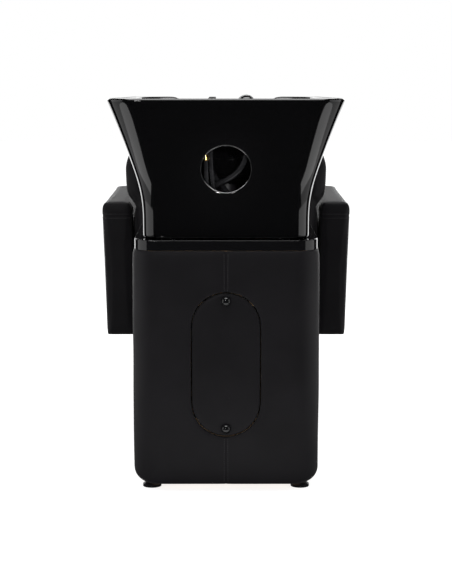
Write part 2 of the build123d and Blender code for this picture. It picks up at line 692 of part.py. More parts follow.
# ---------------------------------------------------------------- basin
PORT_Z = 762.0
PORT_RADIUS = 58.0
NOTCH_RADIUS = 155.0
NOTCH_CENTRE_Z = 1011.0
NOTCH_REAR = 430.0
FLOOR_Z = 730.0
DRAIN_HOLE = 22.3
MIXER_HOLE = 17.5
SLEEVE_HOLE = 17.0
BASIN_SECTIONS = (
    # height, rear, front, rear half width, front half width, corner
    (DECK_TOP + 1, 82, 456, 233, 201, 70),
    (800, 95, 380, 190, 170, 70),
    (748, 116, 300, 122, 116, 55),
    (FLOOR_Z, 140, 250, 62, 60, 45),
)


def plan(z, rear, front, rear_half, front_half, rear_corner, front_corner, drop=0.0):
    """A rounded trapezium at height z, whose front edge is lower than its rear edge by drop."""
    y0, y1 = at(rear), at(front)
    corners = [(-rear_half, y0), (rear_half, y0), (front_half, y1), (-front_half, y1)]
    face = make_face(Polyline(*corners, close=True))
    face = fillet(face.vertices().sort_by(Axis.Y)[:2], radius=rear_corner)
    face = fillet(face.vertices().sort_by(Axis.Y)[-2:], radius=front_corner)
    slope = -math.degrees(math.atan2(drop, front - rear))
    return Pos(0, at(rear), z) * Rot(slope, 0, 0) * Pos(0, -at(rear), 0) * face


def skirt_section(z, inset, drop=0.0):
    rear_flare, front_flare = flare(z), flare(z - drop)
    spread = RIM_SPREAD * (rear_flare / flare(RIM_HEIGHT)) ** 2
    return plan(
        z,
        SKIRT_BASE_REAR - rear_flare + inset,
        SKIRT_BASE_FRONT + FRONT_FLARE * front_flare - inset,
        SKIRT_BASE_HALF_WIDTH + rear_flare + spread - inset,
        SKIRT_BASE_HALF_WIDTH - 6 + 0.47 * front_flare + spread - inset,
        48 + 0.36 * rear_flare - inset,
        60 + 0.8 * front_flare - inset,
        drop,
    )


def flare_levels(top):
    """Heights at which the skirt's sections are taken: the upright foot, steps round the arc, and the top."""
    steps = 6
    levels = [SKIRT_BOTTOM, FLARE_START]
    for step in range(1, steps + 1):
        levels.append(FLARE_START + FLARE_RADIUS * math.sin(math.radians(FLARE_ANGLE * step / steps)))
    return levels + [top]


def skirt_outside():
    shoulder = RIM_HEIGHT - LIP_RADIUS
    sections = [skirt_section(z, 0) for z in flare_levels(shoulder)[:-1]]
    for turn in (0, 30, 60, 88):
        rise = LIP_RADIUS * math.sin(math.radians(turn))
        inset = LIP_RADIUS * (1 - math.cos(math.radians(turn)))
        sections.append(skirt_section(shoulder + rise, inset, RIM_DROP))
    return loft(sections, ruled=True)


def skirt_cavity():
    levels = flare_levels(DECK_TOP - DECK_THICKNESS)
    levels[0] -= 1
    return loft([skirt_section(z, CERAMIC) for z in levels], ruled=True)


def tray_opening():
    sections = [skirt_section(DECK_TOP, 14)]
    for below, inset in ((LIP_RADIUS, 26), (2, 23), (-1, 19)):
        sections.append(skirt_section(RIM_HEIGHT - below, inset, RIM_DROP))
    return loft(sections, ruled=True)


def basin_shape(offset, lower):
    sections = []
    for z, rear, front, rear_half, front_half, corner in BASIN_SECTIONS:
        sections.append(
            plan(
                z - lower,
                rear - offset,
                front + offset * 0.4,
                rear_half + offset * 0.6,
                front_half + offset * 0.6,
                corner,
                corner,
            )
        )
    return loft(sections, ruled=True)


def port_cut():
    """The service port, square to the sloping rear face."""
    face_y = SKIRT_BASE_REAR - flare(PORT_Z)
    return Pos(0, at(face_y), PORT_Z) * Rot(FLARE_ANGLE - 90, 0, 0) * Cylinder(PORT_RADIUS, 60)


def bowl():
    shell = skirt_outside() - skirt_cavity()
    basin = basin_shape(10, 9) & skirt_outside()
    shell = shell + basin - tray_opening() - basin_shape(0, 0)
    for x in (-LUG_X, LUG_X):
        outer, inner = (x / LUG_X) * 186, (x / LUG_X) * 150
        for y in LUG_YS:
            shell += block(min(inner, outer), max(inner, outer), y - 15, y + 15, LUG_BOTTOM, LUG_TOP)
            shell -= rod_z(x, y, LUG_BOTTOM - 1, LUG_BOTTOM + 16, 4.1)
    shell -= port_cut()
    shell -= rod_y(0, NOTCH_REAR, 560, NOTCH_CENTRE_Z, NOTCH_RADIUS)
    shell -= rod_z(0, DRAIN_Y, FLOOR_Z - 40, FLOOR_Z + 5, DRAIN_HOLE)
    shell -= rod_z(MIXER_X, TAP_Y, DECK_TOP - 20, DECK_TOP + 5, MIXER_HOLE)
    shell -= rod_z(SHOWER_X, TAP_Y, DECK_TOP - 20, DECK_TOP + 5, SLEEVE_HOLE)
    shell -= block(-250, 250, 340, 420, SKIRT_BOTTOM - 5, 610)
    return shell


# ---------------------------------------------------------------- drain
TAIL_BOTTOM = 640.0
TAIL_RADIUS = 20.0
FLANGE_TOP = FLOOR_Z + 3


def drain_flange():
    flange = rod_z(0, DRAIN_Y, FLOOR_Z, FLANGE_TOP, 34) + rod_z(0, DRAIN_Y, FLOOR_Z - 40, FLOOR_Z, 22)
    return flange - rod_z(0, DRAIN_Y, FLOOR_Z - 41, FLANGE_TOP + 1, 19)


def drain_tail():
    """The nut under the basin and the pipe that the waste hose hangs from."""
    nut_top = FLOOR_Z - 9
    nut = ring_z(0, DRAIN_Y, FLOOR_Z - 40, nut_top, 32, 22)
    reducer = ring_z(0, DRAIN_Y, FLOOR_Z - 48, FLOOR_Z - 40, 32, 16)
    return nut + reducer + ring_z(0, DRAIN_Y, TAIL_BOTTOM, FLOOR_Z - 40, TAIL_RADIUS, 16)


def strainer():
    """A perforated cup that catches hair."""
    disc = rod_z(0, DRAIN_Y, FLANGE_TOP, FLANGE_TOP + 2, 24)
    disc += rod_z(0, DRAIN_Y, FLANGE_TOP - 8, FLANGE_TOP, 18.6)
    disc -= rod_z(0, DRAIN_Y, FLANGE_TOP - 9, FLANGE_TOP, 16.6)
    knob = rod_z(0, DRAIN_Y, FLANGE_TOP + 2, FLANGE_TOP + 8, 3)
    knob += Pos(0, at(DRAIN_Y), FLANGE_TOP + 10) * Sphere(4.5)
    for ring_radius, count in ((7.5, 6), (13.0, 12)):
        for i in range(count):
            turn = math.radians(360 * i / count)
            x, y = ring_radius * math.cos(turn), DRAIN_Y + ring_radius * math.sin(turn)
            disc -= rod_z(x, y, FLANGE_TOP - 1, FLANGE_TOP + 3, 1.8)
    return disc + knob


# ---------------------------------------------------------------- taps
SHANK_BOTTOM = 826.0
CAP_BOTTOM = 900.5
CAP_TOP = 916.0
LEVER_PIVOT_Z = 911.0
LEVER_YAW = -9.5
LEVER_LENGTH = 66.0
SLEEVE_BORE = 12.6
HANDLE_RADIUS = 12.0
HANDLE_BOTTOM = 812.0
HEAD_Z = 908.5
HEAD_RADIUS = 22.5
HOSE_TAILS = ((-46.5, 25.0, 781.5), (-35.5, 25.0, 806.0))
OUTLET_TAIL = (-41.0, 37.0, 812.0)


def mixer_body():
    body = rod_z(MIXER_X, TAP_Y, DECK_TOP, DECK_TOP + 4, 27) + rod_z(MIXER_X, TAP_Y, DECK_TOP + 4, 900, 23)
    return body + rod_z(MIXER_X, TAP_Y, SHANK_BOTTOM, DECK_TOP, 17)


def lever_frame(shape):
    """Places a piece made at the mixer's axis, with its lever along +Y, at the mixer's place and turn."""
    return Pos(MIXER_X, at(TAP_Y), 0) * Rot(0, 0, LEVER_YAW) * shape


def mixer_cap():
    cap = Pos(0, 0, (CAP_BOTTOM + CAP_TOP) / 2) * Cylinder(22, CAP_TOP - CAP_BOTTOM)
    cap = fillet(cap.edges().group_by(Axis.Z)[-1], 2.5)
    cap -= Pos(0, 10, CAP_TOP - 4) * Box(15, 34, 16)
    cap -= Pos(0, 0, LEVER_PIVOT_Z) * Rot(0, 90, 0) * Cylinder(2.0 + RUNNING, 50)
    return lever_frame(cap)


def mixer_lever():
    hub = Pos(0, 0, LEVER_PIVOT_Z) * Rot(0, 90, 0) * Cylinder(4.8, 14)
    pin = Pos(0, 0, LEVER_PIVOT_Z) * Rot(0, 90, 0) * Cylinder(2.0, 36)
    plane = Plane(origin=(-7, 0, 0), x_dir=(0, 1, 0), z_dir=(1, 0, 0))
    outline = [
        (0, LEVER_PIVOT_Z - 3),
        (LEVER_LENGTH, 919.5),
        (LEVER_LENGTH, 925.5),
        (LEVER_LENGTH - 8, 925.8),
        (0, LEVER_PIVOT_Z + 4.8),
    ]
    arm = extrude(make_face(plane * Polyline(*outline, close=True)), 14, dir=(1, 0, 0))
    return lever_frame(hub + pin + arm)


def hose_ferrules():
    """The threaded tails of the two supply hoses, one longer than the other, and the tail of the outlet."""
    tails = []
    for x, y, end in HOSE_TAILS:
        cone = Pos(x, at(y), end + 9.25) * Cone(5.6, 2.6, 18.5)
        tails.append(cone + rod_z(x, y, end + 18.5, SHANK_BOTTOM, 2.6))
    x, y, end = OUTLET_TAIL
    tails.append(rod_z(x, y, end, SHANK_BOTTOM, 5.0))
    return together(tails)


def shower_sleeve():
    sleeve = rod_z(SHOWER_X, TAP_Y, DECK_TOP, DECK_TOP + 6, 25)
    sleeve += rod_z(SHOWER_X, TAP_Y, 830, DECK_TOP, 16.5)
    return sleeve - rod_z(SHOWER_X, TAP_Y, 829, DECK_TOP + 7, SLEEVE_BORE)


def deck_nuts():
    top = DECK_TOP - DECK_THICKNESS
    nuts = [ring_z(MIXER_X, TAP_Y, top - 9, top, 25, 17), ring_z(SHOWER_X, TAP_Y, top - 9, top, 25, 16.5)]
    return together(nuts)


def handset():
    """A sprayer that stands in its sleeve by the handle, with its head lying towards the basin."""
    handle = rod_z(SHOWER_X, TAP_Y, HANDLE_BOTTOM + 8, HEAD_Z, HANDLE_RADIUS)
    handle += Pos(SHOWER_X, at(TAP_Y), HANDLE_BOTTOM + 4) * Cone(8, HANDLE_RADIUS, 8)
    collar = rod_z(SHOWER_X, TAP_Y, DECK_TOP + 6.3, DECK_TOP + 14, 14.5)
    head = rod_y(SHOWER_X, 16, 70, HEAD_Z, HEAD_RADIUS)
    back = Pos(SHOWER_X, at(16), HEAD_Z) * Sphere(HEAD_RADIUS)
    return handle + collar + head + back


def handset_face():
    face = rod_y(SHOWER_X, 70, 74, HEAD_Z, 20)
    for ring_radius, count in ((6.0, 6), (12.0, 12), (16.5, 16)):
        for i in range(count):
            turn = math.radians(360 * i / count)
            x, z = SHOWER_X + ring_radius * math.cos(turn), HEAD_Z + ring_radius * math.sin(turn)
            face += rod_y(x, 74, 75, z, 1.1)
    return face


# ---------------------------------------------------------------- neck rest
REST_RADIUS = NOTCH_RADIUS - 0.4
REST_THICKNESS = 11.0
REST_HALF_ANGLE = 40.0


def arc_slab(outer, inner, half_angle, y0, y1):
    """A piece of a round trough, open upwards, along Y."""
    ring = rod_y(0, y0, y1, NOTCH_CENTRE_Z, outer) - rod_y(0, y0 - 1, y1 + 1, NOTCH_CENTRE_Z, inner)
    reach = outer * 1.5
    side = reach * math.tan(math.radians(half_angle))
    wedge = rear_profile(
        [(0, NOTCH_CENTRE_Z), (-side, NOTCH_CENTRE_Z - reach), (side, NOTCH_CENTRE_Z - reach)], y0 - 1, y1 + 1
    )
    return ring & wedge


def neck_rest():
    """A soft rest over the notch, with a lip that hangs in front of the rim."""
    pad = arc_slab(REST_RADIUS, REST_RADIUS - REST_THICKNESS, REST_HALF_ANGLE, 438, 508)
    return pad + arc_slab(REST_RADIUS + 13, REST_RADIUS - REST_THICKNESS, REST_HALF_ANGLE, 503, 508)


# ---------------------------------------------------------------- hoses
SUPPLY_RADIUS = 5.5
SHOWER_HOSE_RADIUS = 6.5
WASTE_RADIUS = TAIL_RADIUS
COLLAR_SOCKET_TOP = 60.0

# Routes as (x, y, z), each from the end that is fixed to the taps or the drain.
HOT_ROUTE = (
    (-46.5, 25, 781.5),
    (-46.5, 25, 758),
    (-44, 33, 719),
    (-44, 54, 681),
    (-50, 82, 644),
    (-60, 103, 600),
    (-67, 114, 548),
    (-71, 114, 480),
    (-72, 107, 405),
    (-69, 100, 320),
    (-66, 97, 240),
    (-66, 97, 170),
)
COLD_ROUTE = (
    (-35.5, 25, 806),
    (-35.5, 25, 779),
    (-32, 30, 738),
    (-27, 46, 697),
    (-28, 73, 656),
    (-33, 99, 612),
    (-39, 114, 558),
    (-43, 119, 492),
    (-44, 114, 420),
    (-39, 107, 345),
    (-32, 103, 275),
    (-32, 103, 205),
)
SHOWER_ROUTE = (
    (47, 25, 812),
    (47, 25, 792),
    (40, 26, 772),
    (27, 30, 754),
    (8, 38, 739),
    (-14, 48, 727),
    (-38, 60, 714),
    (-62, 74, 694),
    (-81, 91, 663),
    (-91, 108, 622),
    (-95, 124, 568),
    (-93, 134, 505),
    (-91, 141, 440),
    (-89, 146, 375),
    (-78, 149, 330),
    (-48, 151, 298),
    (-8, 151, 286),
    (32, 150, 298),
    (62, 147, 330),
    (74, 143, 375),
    (77, 138, 440),
    (76, 131, 505),
    (69, 122, 565),
    (55, 112, 615),
    (34, 101, 657),
    (7, 87, 697),
    (-19, 70, 730),
    (-36, 51, 754),
    (-41, 37, 782),
    (-41, 37, 812),
)
WASTE_ROUTE = (
    (0, DRAIN_Y, TAIL_BOTTOM),
    (0, DRAIN_Y, 560),
    (2, 194, 480),
    (6, 208, 390),
    (10, 230, 300),
    (8, 250, 215),
    (0, OUTLET_Y, 135),
    (0, OUTLET_Y, COLLAR_SOCKET_TOP),
)


def hose(name, route, radius):
    """A hose of straight runs joined by arcs, each as large as its two runs allow."""
    points = [Vector(x, at(y), z) for x, y, z in route]
    runs = [b - a for a, b in zip(points, points[1:])]
    radii = []
    for run, next_run in zip(runs, runs[1:]):
        half_turn = math.radians(run.get_angle(next_run)) / 2
        radii.append(0.45 * min(run.length, next_run.length) / math.tan(half_turn))
    path = FilletPolyline(*points, radius=radii)
    section = Plane(origin=points[0], z_dir=runs[0]) * Circle(radius)
    tube = sweep(section, path=path)
    fill = tube.volume / (math.pi * radius**2 * path.length)
    print(name, "length", round(path.length), "fill", round(fill, 4), "radii", [round(r) for r in radii])
    return tube


def hose_nuts():
    """The swivel nuts at the free ends of the two supply hoses."""
    nuts = []
    for x, y, z in (HOT_ROUTE[-1], COLD_ROUTE[-1]):
        nut = Pos(x, at(y), z - 16) * extrude(RegularPolygon(13.5, 6), 16)
        nuts.append(nut - rod_z(x, y, z - 17, z - 4, 9.5))
    return together(nuts)


def waste_collar():
    """The socket on the cabinet's floor that takes the waste hose, and its spigot under the floor."""
    top = CABINET_BOTTOM + BOARD
    collar = rod_z(0, OUTLET_Y, top, top + 5, 42) + rod_z(0, OUTLET_Y, top + 5, COLLAR_SOCKET_TOP, 25)
    return collar + rod_z(0, OUTLET_Y, 6, top, 20) - rod_z(0, OUTLET_Y, 5, COLLAR_SOCKET_TOP + 1, 17)


# ---------------------------------------------------------------- the whole unit
def all_parts():
    parts = cabinet_boards()
    parts["cabinet_cover"] = cabinet_cover()
    parts["collar_trim"] = collar_trim()
    parts["hatch_crossbars"] = hatch_crossbars()
    parts["hatch_inserts"] = hatch_inserts()
    parts["hatch_panel"], parts["hatch_cover"] = hatch_parts()
    for name, z in KNOB_ZS.items():
        parts["hatch_knob_" + name] = hatch_knob(z)

    parts["tilt_base"] = tilt_base()
    parts["axle_bushes"] = axle_bushes()
    parts["tilt_axle"] = tilt_axle()
    parts["tilt_cradle"] = tilt_cradle()
    parts["cradle_pads"] = cradle_pads()
    parts["cradle_bolts"] = cradle_bolts()
    parts["rest_buffers"] = rest_buffers()
    parts["lock_quadrant"] = lock_quadrant()
    parts["lock_handle"] = lock_handle()
    parts["cabinet_bolts"] = cabinet_bolts()

    parts["bowl"] = bowl()
    parts["neck_rest"] = neck_rest()
    parts["drain_flange"] = drain_flange()
    parts["drain_tail"] = drain_tail()
    parts["strainer"] = strainer()
    parts["mixer_body"] = mixer_body()
    parts["mixer_cap"] = mixer_cap()
    parts["mixer_lever"] = mixer_lever()
    parts["deck_nuts"] = deck_nuts()
    parts["hose_ferrules"] = hose_ferrules()
    parts["shower_sleeve"] = shower_sleeve()
    parts["handset"] = handset()
    parts["handset_face"] = handset_face()

    parts["hot_hose"] = hose("hot_hose", HOT_ROUTE, SUPPLY_RADIUS)
    parts["cold_hose"] = hose("cold_hose", COLD_ROUTE, SUPPLY_RADIUS)
    parts["shower_hose"] = hose("shower_hose", SHOWER_ROUTE, SHOWER_HOSE_RADIUS)
    parts["waste_hose"] = hose("waste_hose", WASTE_ROUTE, WASTE_RADIUS)
    parts["hose_nuts"] = hose_nuts()
    parts["waste_collar"] = waste_collar()

    parts["chair_frame"] = chair_frame()
    parts["chair_bolts"] = chair_bolts()
    parts["seat_board"], parts["seat_base_pad"], parts["seat_cushion"] = seat_parts()
    parts["backrest_board"], parts["backrest_cushion"] = back_parts()
    core, cover = arm_parts()
    parts["arm_cores"] = together([core, mirrored(core)])
    parts["arm_cover_right"] = cover
    parts["arm_cover_left"] = mirrored(cover)

    parts["foot_sockets"] = foot_sockets()
    names = ("rear_left", "rear_right", "front_left", "front_right", "leg_left", "leg_right")
    for name, (x, y) in zip(names, cabinet_feet() + leg_feet()):
        parts["foot_" + name] = levelling_foot(x, y)
    return parts


os.makedirs("parts", exist_ok=True)
for part_name, part_shape in all_parts().items():
    export_step(part_shape, "parts/" + part_name + ".step")
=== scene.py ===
import math

import bmesh
import bpy
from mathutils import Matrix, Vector, noise
from mathutils.bvhtree import BVHTree


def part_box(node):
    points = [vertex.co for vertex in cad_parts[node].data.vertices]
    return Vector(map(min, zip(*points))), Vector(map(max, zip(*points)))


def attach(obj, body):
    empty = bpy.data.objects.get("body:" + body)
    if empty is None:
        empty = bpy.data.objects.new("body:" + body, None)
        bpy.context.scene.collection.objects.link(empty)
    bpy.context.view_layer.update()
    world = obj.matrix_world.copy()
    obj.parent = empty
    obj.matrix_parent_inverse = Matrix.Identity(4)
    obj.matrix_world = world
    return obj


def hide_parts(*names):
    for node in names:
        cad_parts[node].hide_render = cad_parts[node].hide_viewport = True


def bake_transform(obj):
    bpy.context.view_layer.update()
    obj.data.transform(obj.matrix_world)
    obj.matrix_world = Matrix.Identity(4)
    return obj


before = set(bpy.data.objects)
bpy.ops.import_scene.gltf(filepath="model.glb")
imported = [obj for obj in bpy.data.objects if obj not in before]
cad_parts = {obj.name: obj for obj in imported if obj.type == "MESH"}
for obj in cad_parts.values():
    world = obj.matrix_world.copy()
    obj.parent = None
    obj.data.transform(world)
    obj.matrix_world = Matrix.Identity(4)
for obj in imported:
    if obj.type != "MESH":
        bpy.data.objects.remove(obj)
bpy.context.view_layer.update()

# Everything below is worked out in millimetres: x across, u from the cabinet's rear face, z up.
MM = 0.001
REAR_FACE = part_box("cabinet_cover")[0][1]

# ---------------------------------------------------------------- driving dimensions
CABINET_HALF = 219.5
CABINET_DEPTH = 420.0
CABINET_BOTTOM = 17.0
CABINET_TOP = 574.0
CABINET_CORNER = 62.0
HEM_RADIUS = 28.0
SEAM_DEPTH = 1.5

RIM_HEIGHT = 925.0
RIM_DROP = 10.0
LIP_RADIUS = 8.0
INNER_LIP = 7.0
SKIRT_BOTTOM = 600.5
BASE_REAR = 24.0
BASE_FRONT = 396.0
BASE_HALF = 196.0
FLARE_START = 641.0
FLARE_RADIUS = 350.0
FLARE_ANGLE = math.radians(18.2)
FRONT_FLARE = 1.39
RIM_SPREAD = 13.0
CERAMIC = 11.0
DECK_TOP = 862.0
DECK_BOTTOM = 850.0
UNDERSIDE_OFFSET = 10.0
UNDERSIDE_DROP = 9.0
BASIN_SECTIONS = (
    (863.0, 82.0, 456.0, 233.0, 201.0, 70.0),
    (800.0, 95.0, 380.0, 190.0, 170.0, 70.0),
    (748.0, 116.0, 300.0, 122.0, 116.0, 55.0),
    (730.0, 140.0, 250.0, 62.0, 60.0, 45.0),
)
DRAIN_U = 190.0
DRAIN_RADIUS = 22.3

PORT_Z = 762.0
PORT_RADIUS = 58.0
PORT_LIP = 3.0
# Tube radius of the pale ring round the port, which is a painted highlight of the glaze's edge.
PORT_HIGHLIGHT_TUBE = 0.45
PATCH_HALF = 90.0
PATCH_LOW = 690.0
PATCH_HIGH = 835.0

NOTCH_RADIUS = 155.0
NOTCH_CENTRE = 1011.0
NOTCH_FLOOR = 800.0
NOTCH_SOFTENING = 12.0

REST_RADIUS = NOTCH_RADIUS - 0.4
REST_THICKNESS = 11.0
REST_LIP = 13.0
REST_HALF_ANGLE = 40.0
REST_MIDDLE = 473.0
REST_ENDS = ((-1.0, 0.35), (-0.998, 0.72), (-0.985, 0.93), (-0.96, 1.0))
REST_SPAN = tuple((step / 10, 1.0) for step in range(-9, 10))

HATCH_CENTRE = 305.0
HATCH_HOLE_HALF = 82.0
HATCH_HOLE_REACH = 172.0
HATCH_PAD_HALF = 79.7
HATCH_PAD_REACH = 169.7
KNOB_SPACING = 304.0

ARM_REAR = 520.0
ARM_FRONT = 1040.0
ARM_SEAM = 601.0
ARM_SECTION = ((245, 282), (316, 282), (326.5, 629), (321, 638), (256, 638), (250, 629))
ARM_SEAM_PATH = (
    (328, ARM_REAR + 8), (328, ARM_FRONT - 8), (318, ARM_FRONT + 4), (262, ARM_FRONT + 4),
    (246, ARM_FRONT - 8), (246, ARM_REAR + 8), (262, ARM_REAR - 4), (318, ARM_REAR - 4),
    (328, ARM_REAR + 8),
)
ARM_BASE = 284.0
BASE_ROUNDING = 6.0
ARM_PRESSURE = 1.0
SEAT_HALF = 243.0
SEAT_SECTION = (
    (635, 362), (1067, 362), (1075, 374), (1075, 429), (1067, 447), (1049, 455), (644, 455), (628, 439),
)
SEAT_REST = 362.0
BASE_PAD_SECTION = ((638, 283), (1074, 283), (1074, 362), (638, 362))
BACK_SECTION = (
    (-242, 290), (242, 290), (242, 630), (268, 662), (268, 742), (251, 784), (208, 801),
    (-208, 801), (-251, 784), (-268, 742), (-268, 662), (-242, 630),
)
BACK_REAR = 556.0
BACK_FRONT = 638.0
BACK_PIVOT_Z = 300.0
BACK_LEAN = math.radians(5.5)
CHANNEL_HALF = 24.0
CHANNEL_TOP = 436.0
CHANNEL_DEPTH = 20.5
UPRIGHT_X = 150.0

FABRIC_VOXEL = 5.0
FILLING_PRESSURE = 4.0
FILLING_FRAMES = 20
STITCH_PITCH = 5.2
STITCH_LENGTH = 3.6
STITCH_RADIUS = 0.45

ARC_RISE = FLARE_RADIUS * math.sin(FLARE_ANGLE)
ARC_OFFSET = FLARE_RADIUS * (1 - math.cos(FLARE_ANGLE))
STRAIGHT_START = FLARE_START + ARC_RISE
SHOULDER = RIM_HEIGHT - LIP_RADIUS


# ---------------------------------------------------------------- small tools
def place(x, u, z):
    """A point in the row frame, in metres."""
    return Vector((x * MM, REAR_FACE + u * MM, z * MM))


def mix(a, b, t):
    return a + (b - a) * t


def mix_rings(ring, other, t):
    return [tuple(mix(a, b, t) for a, b in zip(p, q)) for p, q in zip(ring, other)]


def ease(t):
    t = min(max(t, 0.0), 1.0)
    return t * t * (3 - 2 * t)


def lower_of(a, b, softening):
    """The lower of two heights, with a rounded changeover."""
    h = min(max(0.5 + 0.5 * (b - a) / softening, 0.0), 1.0)
    return mix(b, a, h) - softening * h * (1 - h)


def flare(z):
    """How far the skirt leans out at height z: nothing, then an arc, then a straight slope."""
    rise = z - FLARE_START
    if rise <= 0:
        return 0.0
    if rise < ARC_RISE:
        return FLARE_RADIUS - math.sqrt(FLARE_RADIUS**2 - rise**2)
    return ARC_OFFSET + (rise - ARC_RISE) * math.tan(FLARE_ANGLE)


def link(obj):
    bpy.context.scene.collection.objects.link(obj)
    return obj


def aim(obj, target):
    """Turns a light to face a point."""
    obj.rotation_euler = (Vector(target) - obj.location).to_track_quat("-Z", "Y").to_euler()


def evaluated_mesh(obj):
    """An object's mesh as its modifiers or its curve leave it."""
    graph = bpy.context.evaluated_depsgraph_get()
    return bpy.data.meshes.new_from_object(obj.evaluated_get(graph))


def ring_of_verts(bm, ring):
    return [bm.verts.new(place(*point)) for point in ring]


def bridge(bm, loop, other):
    """Quads between two closed loops with the same number of vertices."""
    for k in range(len(loop)):
        n = (k + 1) % len(loop)
        bm.faces.new((loop[k], loop[n], other[n], other[k]))


def bridge_all(bm, loops):
    for loop, other in zip(loops, loops[1:]):
        bridge(bm, loop, other)


def cover_grid(bm, grid, row_count, skipped):
    """Quads over rows of vertices that go round, except at the places that skipped names."""
    columns = len(grid[0])
    for row in range(row_count):
        above = grid[(row + 1) % len(grid)]
        for column in range(columns):
            if not skipped(row, column):
                beside = (column + 1) % columns
                bm.faces.new((grid[row][column], grid[row][beside], above[beside], above[column]))


def drop_loose(bm):
    bmesh.ops.delete(bm, geom=[vertex for vertex in bm.verts if not vertex.link_faces], context="VERTS")


def finish_mesh(bm, name, smooth=True):
    """Turns a bmesh into an object with outward normals."""
    bmesh.ops.recalc_face_normals(bm, faces=bm.faces)
    mesh = bpy.data.meshes.new(name)
    bm.to_mesh(mesh)
    bm.free()
    for face in mesh.polygons:
        face.use_smooth = smooth
    return link(bpy.data.objects.new(name, mesh))


def subdivide(obj, levels):
    modifier = obj.modifiers.new("rounding", "SUBSURF")
    modifier.levels = levels
    modifier.render_levels = levels


def apply_modifiers(obj):
    """Bakes an object's modifiers into its mesh."""
    mesh = evaluated_mesh(obj)
    obj.modifiers.clear()
    obj.data = mesh


def paint(obj, slot, body=None, finish=None):
    """Gives a piece its slot's material or another finish, and attaches it to a body when one is given."""
    obj.data.materials.clear()
    obj.data.materials.append(MATERIALS[finish or slot])
    if body is not None:
        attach(obj, body)


# ---------------------------------------------------------------- materials
def shader_of(made):
    return made.node_tree.nodes["Principled BSDF"]


def set_inputs(node, values):
    for entry, value in values.items():
        node.inputs[entry].default_value = value


def new_material(name, colour, roughness, metallic=0.0, specular=0.5, coat=0.0):
    made = bpy.data.materials.new(name)
    made.use_nodes = True
    set_inputs(shader_of(made), {
        "Base Color": (*colour, 1),
        "Roughness": roughness,
        "Metallic": metallic,
        "Specular IOR Level": specular,
        "Coat Weight": coat,
        "Coat Roughness": 0.05,
    })
    return made


def add_node(made, kind, **settings):
    added = made.node_tree.nodes.new(kind)
    for key, value in settings.items():
        setattr(added, key, value)
    return added


def join(made, output, entry):
    made.node_tree.links.new(output, entry)


def pattern(made, kind, scale, stretch=(1, 1, 1), **settings):
    """A texture in the object's own space, whose scale counts features per metre."""
    place_node = add_node(made, "ShaderNodeTexCoord")
    mapping = add_node(made, "ShaderNodeMapping")
    mapping.inputs["Scale"].default_value = stretch
    join(made, place_node.outputs["Object"], mapping.inputs["Vector"])
    texture = add_node(made, kind, **settings)
    texture.inputs["Scale"].default_value = scale
    join(made, mapping.outputs["Vector"], texture.inputs["Vector"])
    return texture


def clouds(made, scale, stretch=(1, 1, 1)):
    return pattern(made, "ShaderNodeTexNoise", scale, stretch).outputs["Fac"]


def cells(made, scale, **settings):
    return pattern(made, "ShaderNodeTexVoronoi", scale, **settings).outputs["Distance"]


def vary(made, factor, entry, low, high, start=0.3, end=0.7):
    """Spreads a texture over a range of values, or of colours, on one of the shader's sockets."""
    target = shader_of(made).inputs[entry]
    if isinstance(low, tuple):
        ramp = add_node(made, "ShaderNodeValToRGB")
        ramp.color_ramp.elements[0].position = start
        ramp.color_ramp.elements[1].position = end
        ramp.color_ramp.elements[0].color = (*low, 1)
        ramp.color_ramp.elements[1].color = (*high, 1)
        join(made, factor, ramp.inputs["Fac"])
        join(made, ramp.outputs["Color"], target)
        return
    span = add_node(made, "ShaderNodeMapRange")
    set_inputs(span, {"From Min": start, "From Max": end, "To Min": low, "To Max": high})
    join(made, factor, span.inputs["Value"])
    join(made, span.outputs["Result"], target)


def bump(made, height, distance, strength=1.0, under=None):
    """Adds relief of the given depth in metres, on top of another bump."""
    added = add_node(made, "ShaderNodeBump")
    set_inputs(added, {"Strength": strength, "Distance": distance})
    join(made, height, added.inputs["Height"])
    if under is not None:
        join(made, under.outputs["Normal"], added.inputs["Normal"])
    join(made, added.outputs["Normal"], shader_of(made).inputs["Normal"])
    return added


def black_glaze():
    made = new_material("black_glaze", (0.0022, 0.0022, 0.0024), 0.06, coat=0.6)
    orange_peel = clouds(made, 26)
    vary(made, orange_peel, "Roughness", 0.035, 0.10)
    wave = bump(made, orange_peel, 0.00025, 0.5)
    pinholes = clouds(made, 420)
    bump(made, pinholes, 0.00001, 0.5, under=wave)
    return made


def black_vinyl():
    made = new_material("black_vinyl", (0.0040, 0.0034, 0.0046), 0.5, specular=0.17)
    set_inputs(shader_of(made), {"Sheen Weight": 0.04})
    wear = clouds(made, 9)
    vary(made, wear, "Base Color", (0.0034, 0.0029, 0.0040), (0.0048, 0.0041, 0.0055))
    grain = cells(made, 620, feature="DISTANCE_TO_EDGE")
    vary(made, grain, "Roughness", 0.58, 0.42, 0.0, 0.35)
    pebbles = bump(made, grain, 0.00012, 0.7)
    stretch = clouds(made, 22, stretch=(1, 1, 0.35))
    bump(made, stretch, 0.0010, 0.25, under=pebbles)
    return made


def moulded_plastic(name, colour, roughness, coat):
    made = new_material(name, colour, roughness, coat=coat)
    flow = clouds(made, 14)
    vary(made, flow, "Roughness", roughness * 0.8, roughness * 1.3)
    skin = clouds(made, 1500)
    bump(made, skin, 0.00002, 0.5)
    return made


def plywood():
    made = new_material("plywood", (0.44, 0.29, 0.16), 0.62, specular=0.3)
    grain = clouds(made, 60, stretch=(0.12, 1, 1))
    vary(made, grain, "Base Color", (0.34, 0.20, 0.10), (0.56, 0.40, 0.24))
    bump(made, grain, 0.0003, 0.5)
    return made


def powder_coat():
    made = new_material("black_steel", (0.012, 0.012, 0.013), 0.42, specular=0.45)
    tone = clouds(made, 18)
    vary(made, tone, "Base Color", (0.010, 0.010, 0.011), (0.017, 0.017, 0.018))
    texture = clouds(made, 900)
    vary(made, texture, "Roughness", 0.36, 0.50)
    bump(made, texture, 0.00006, 0.7)
    return made


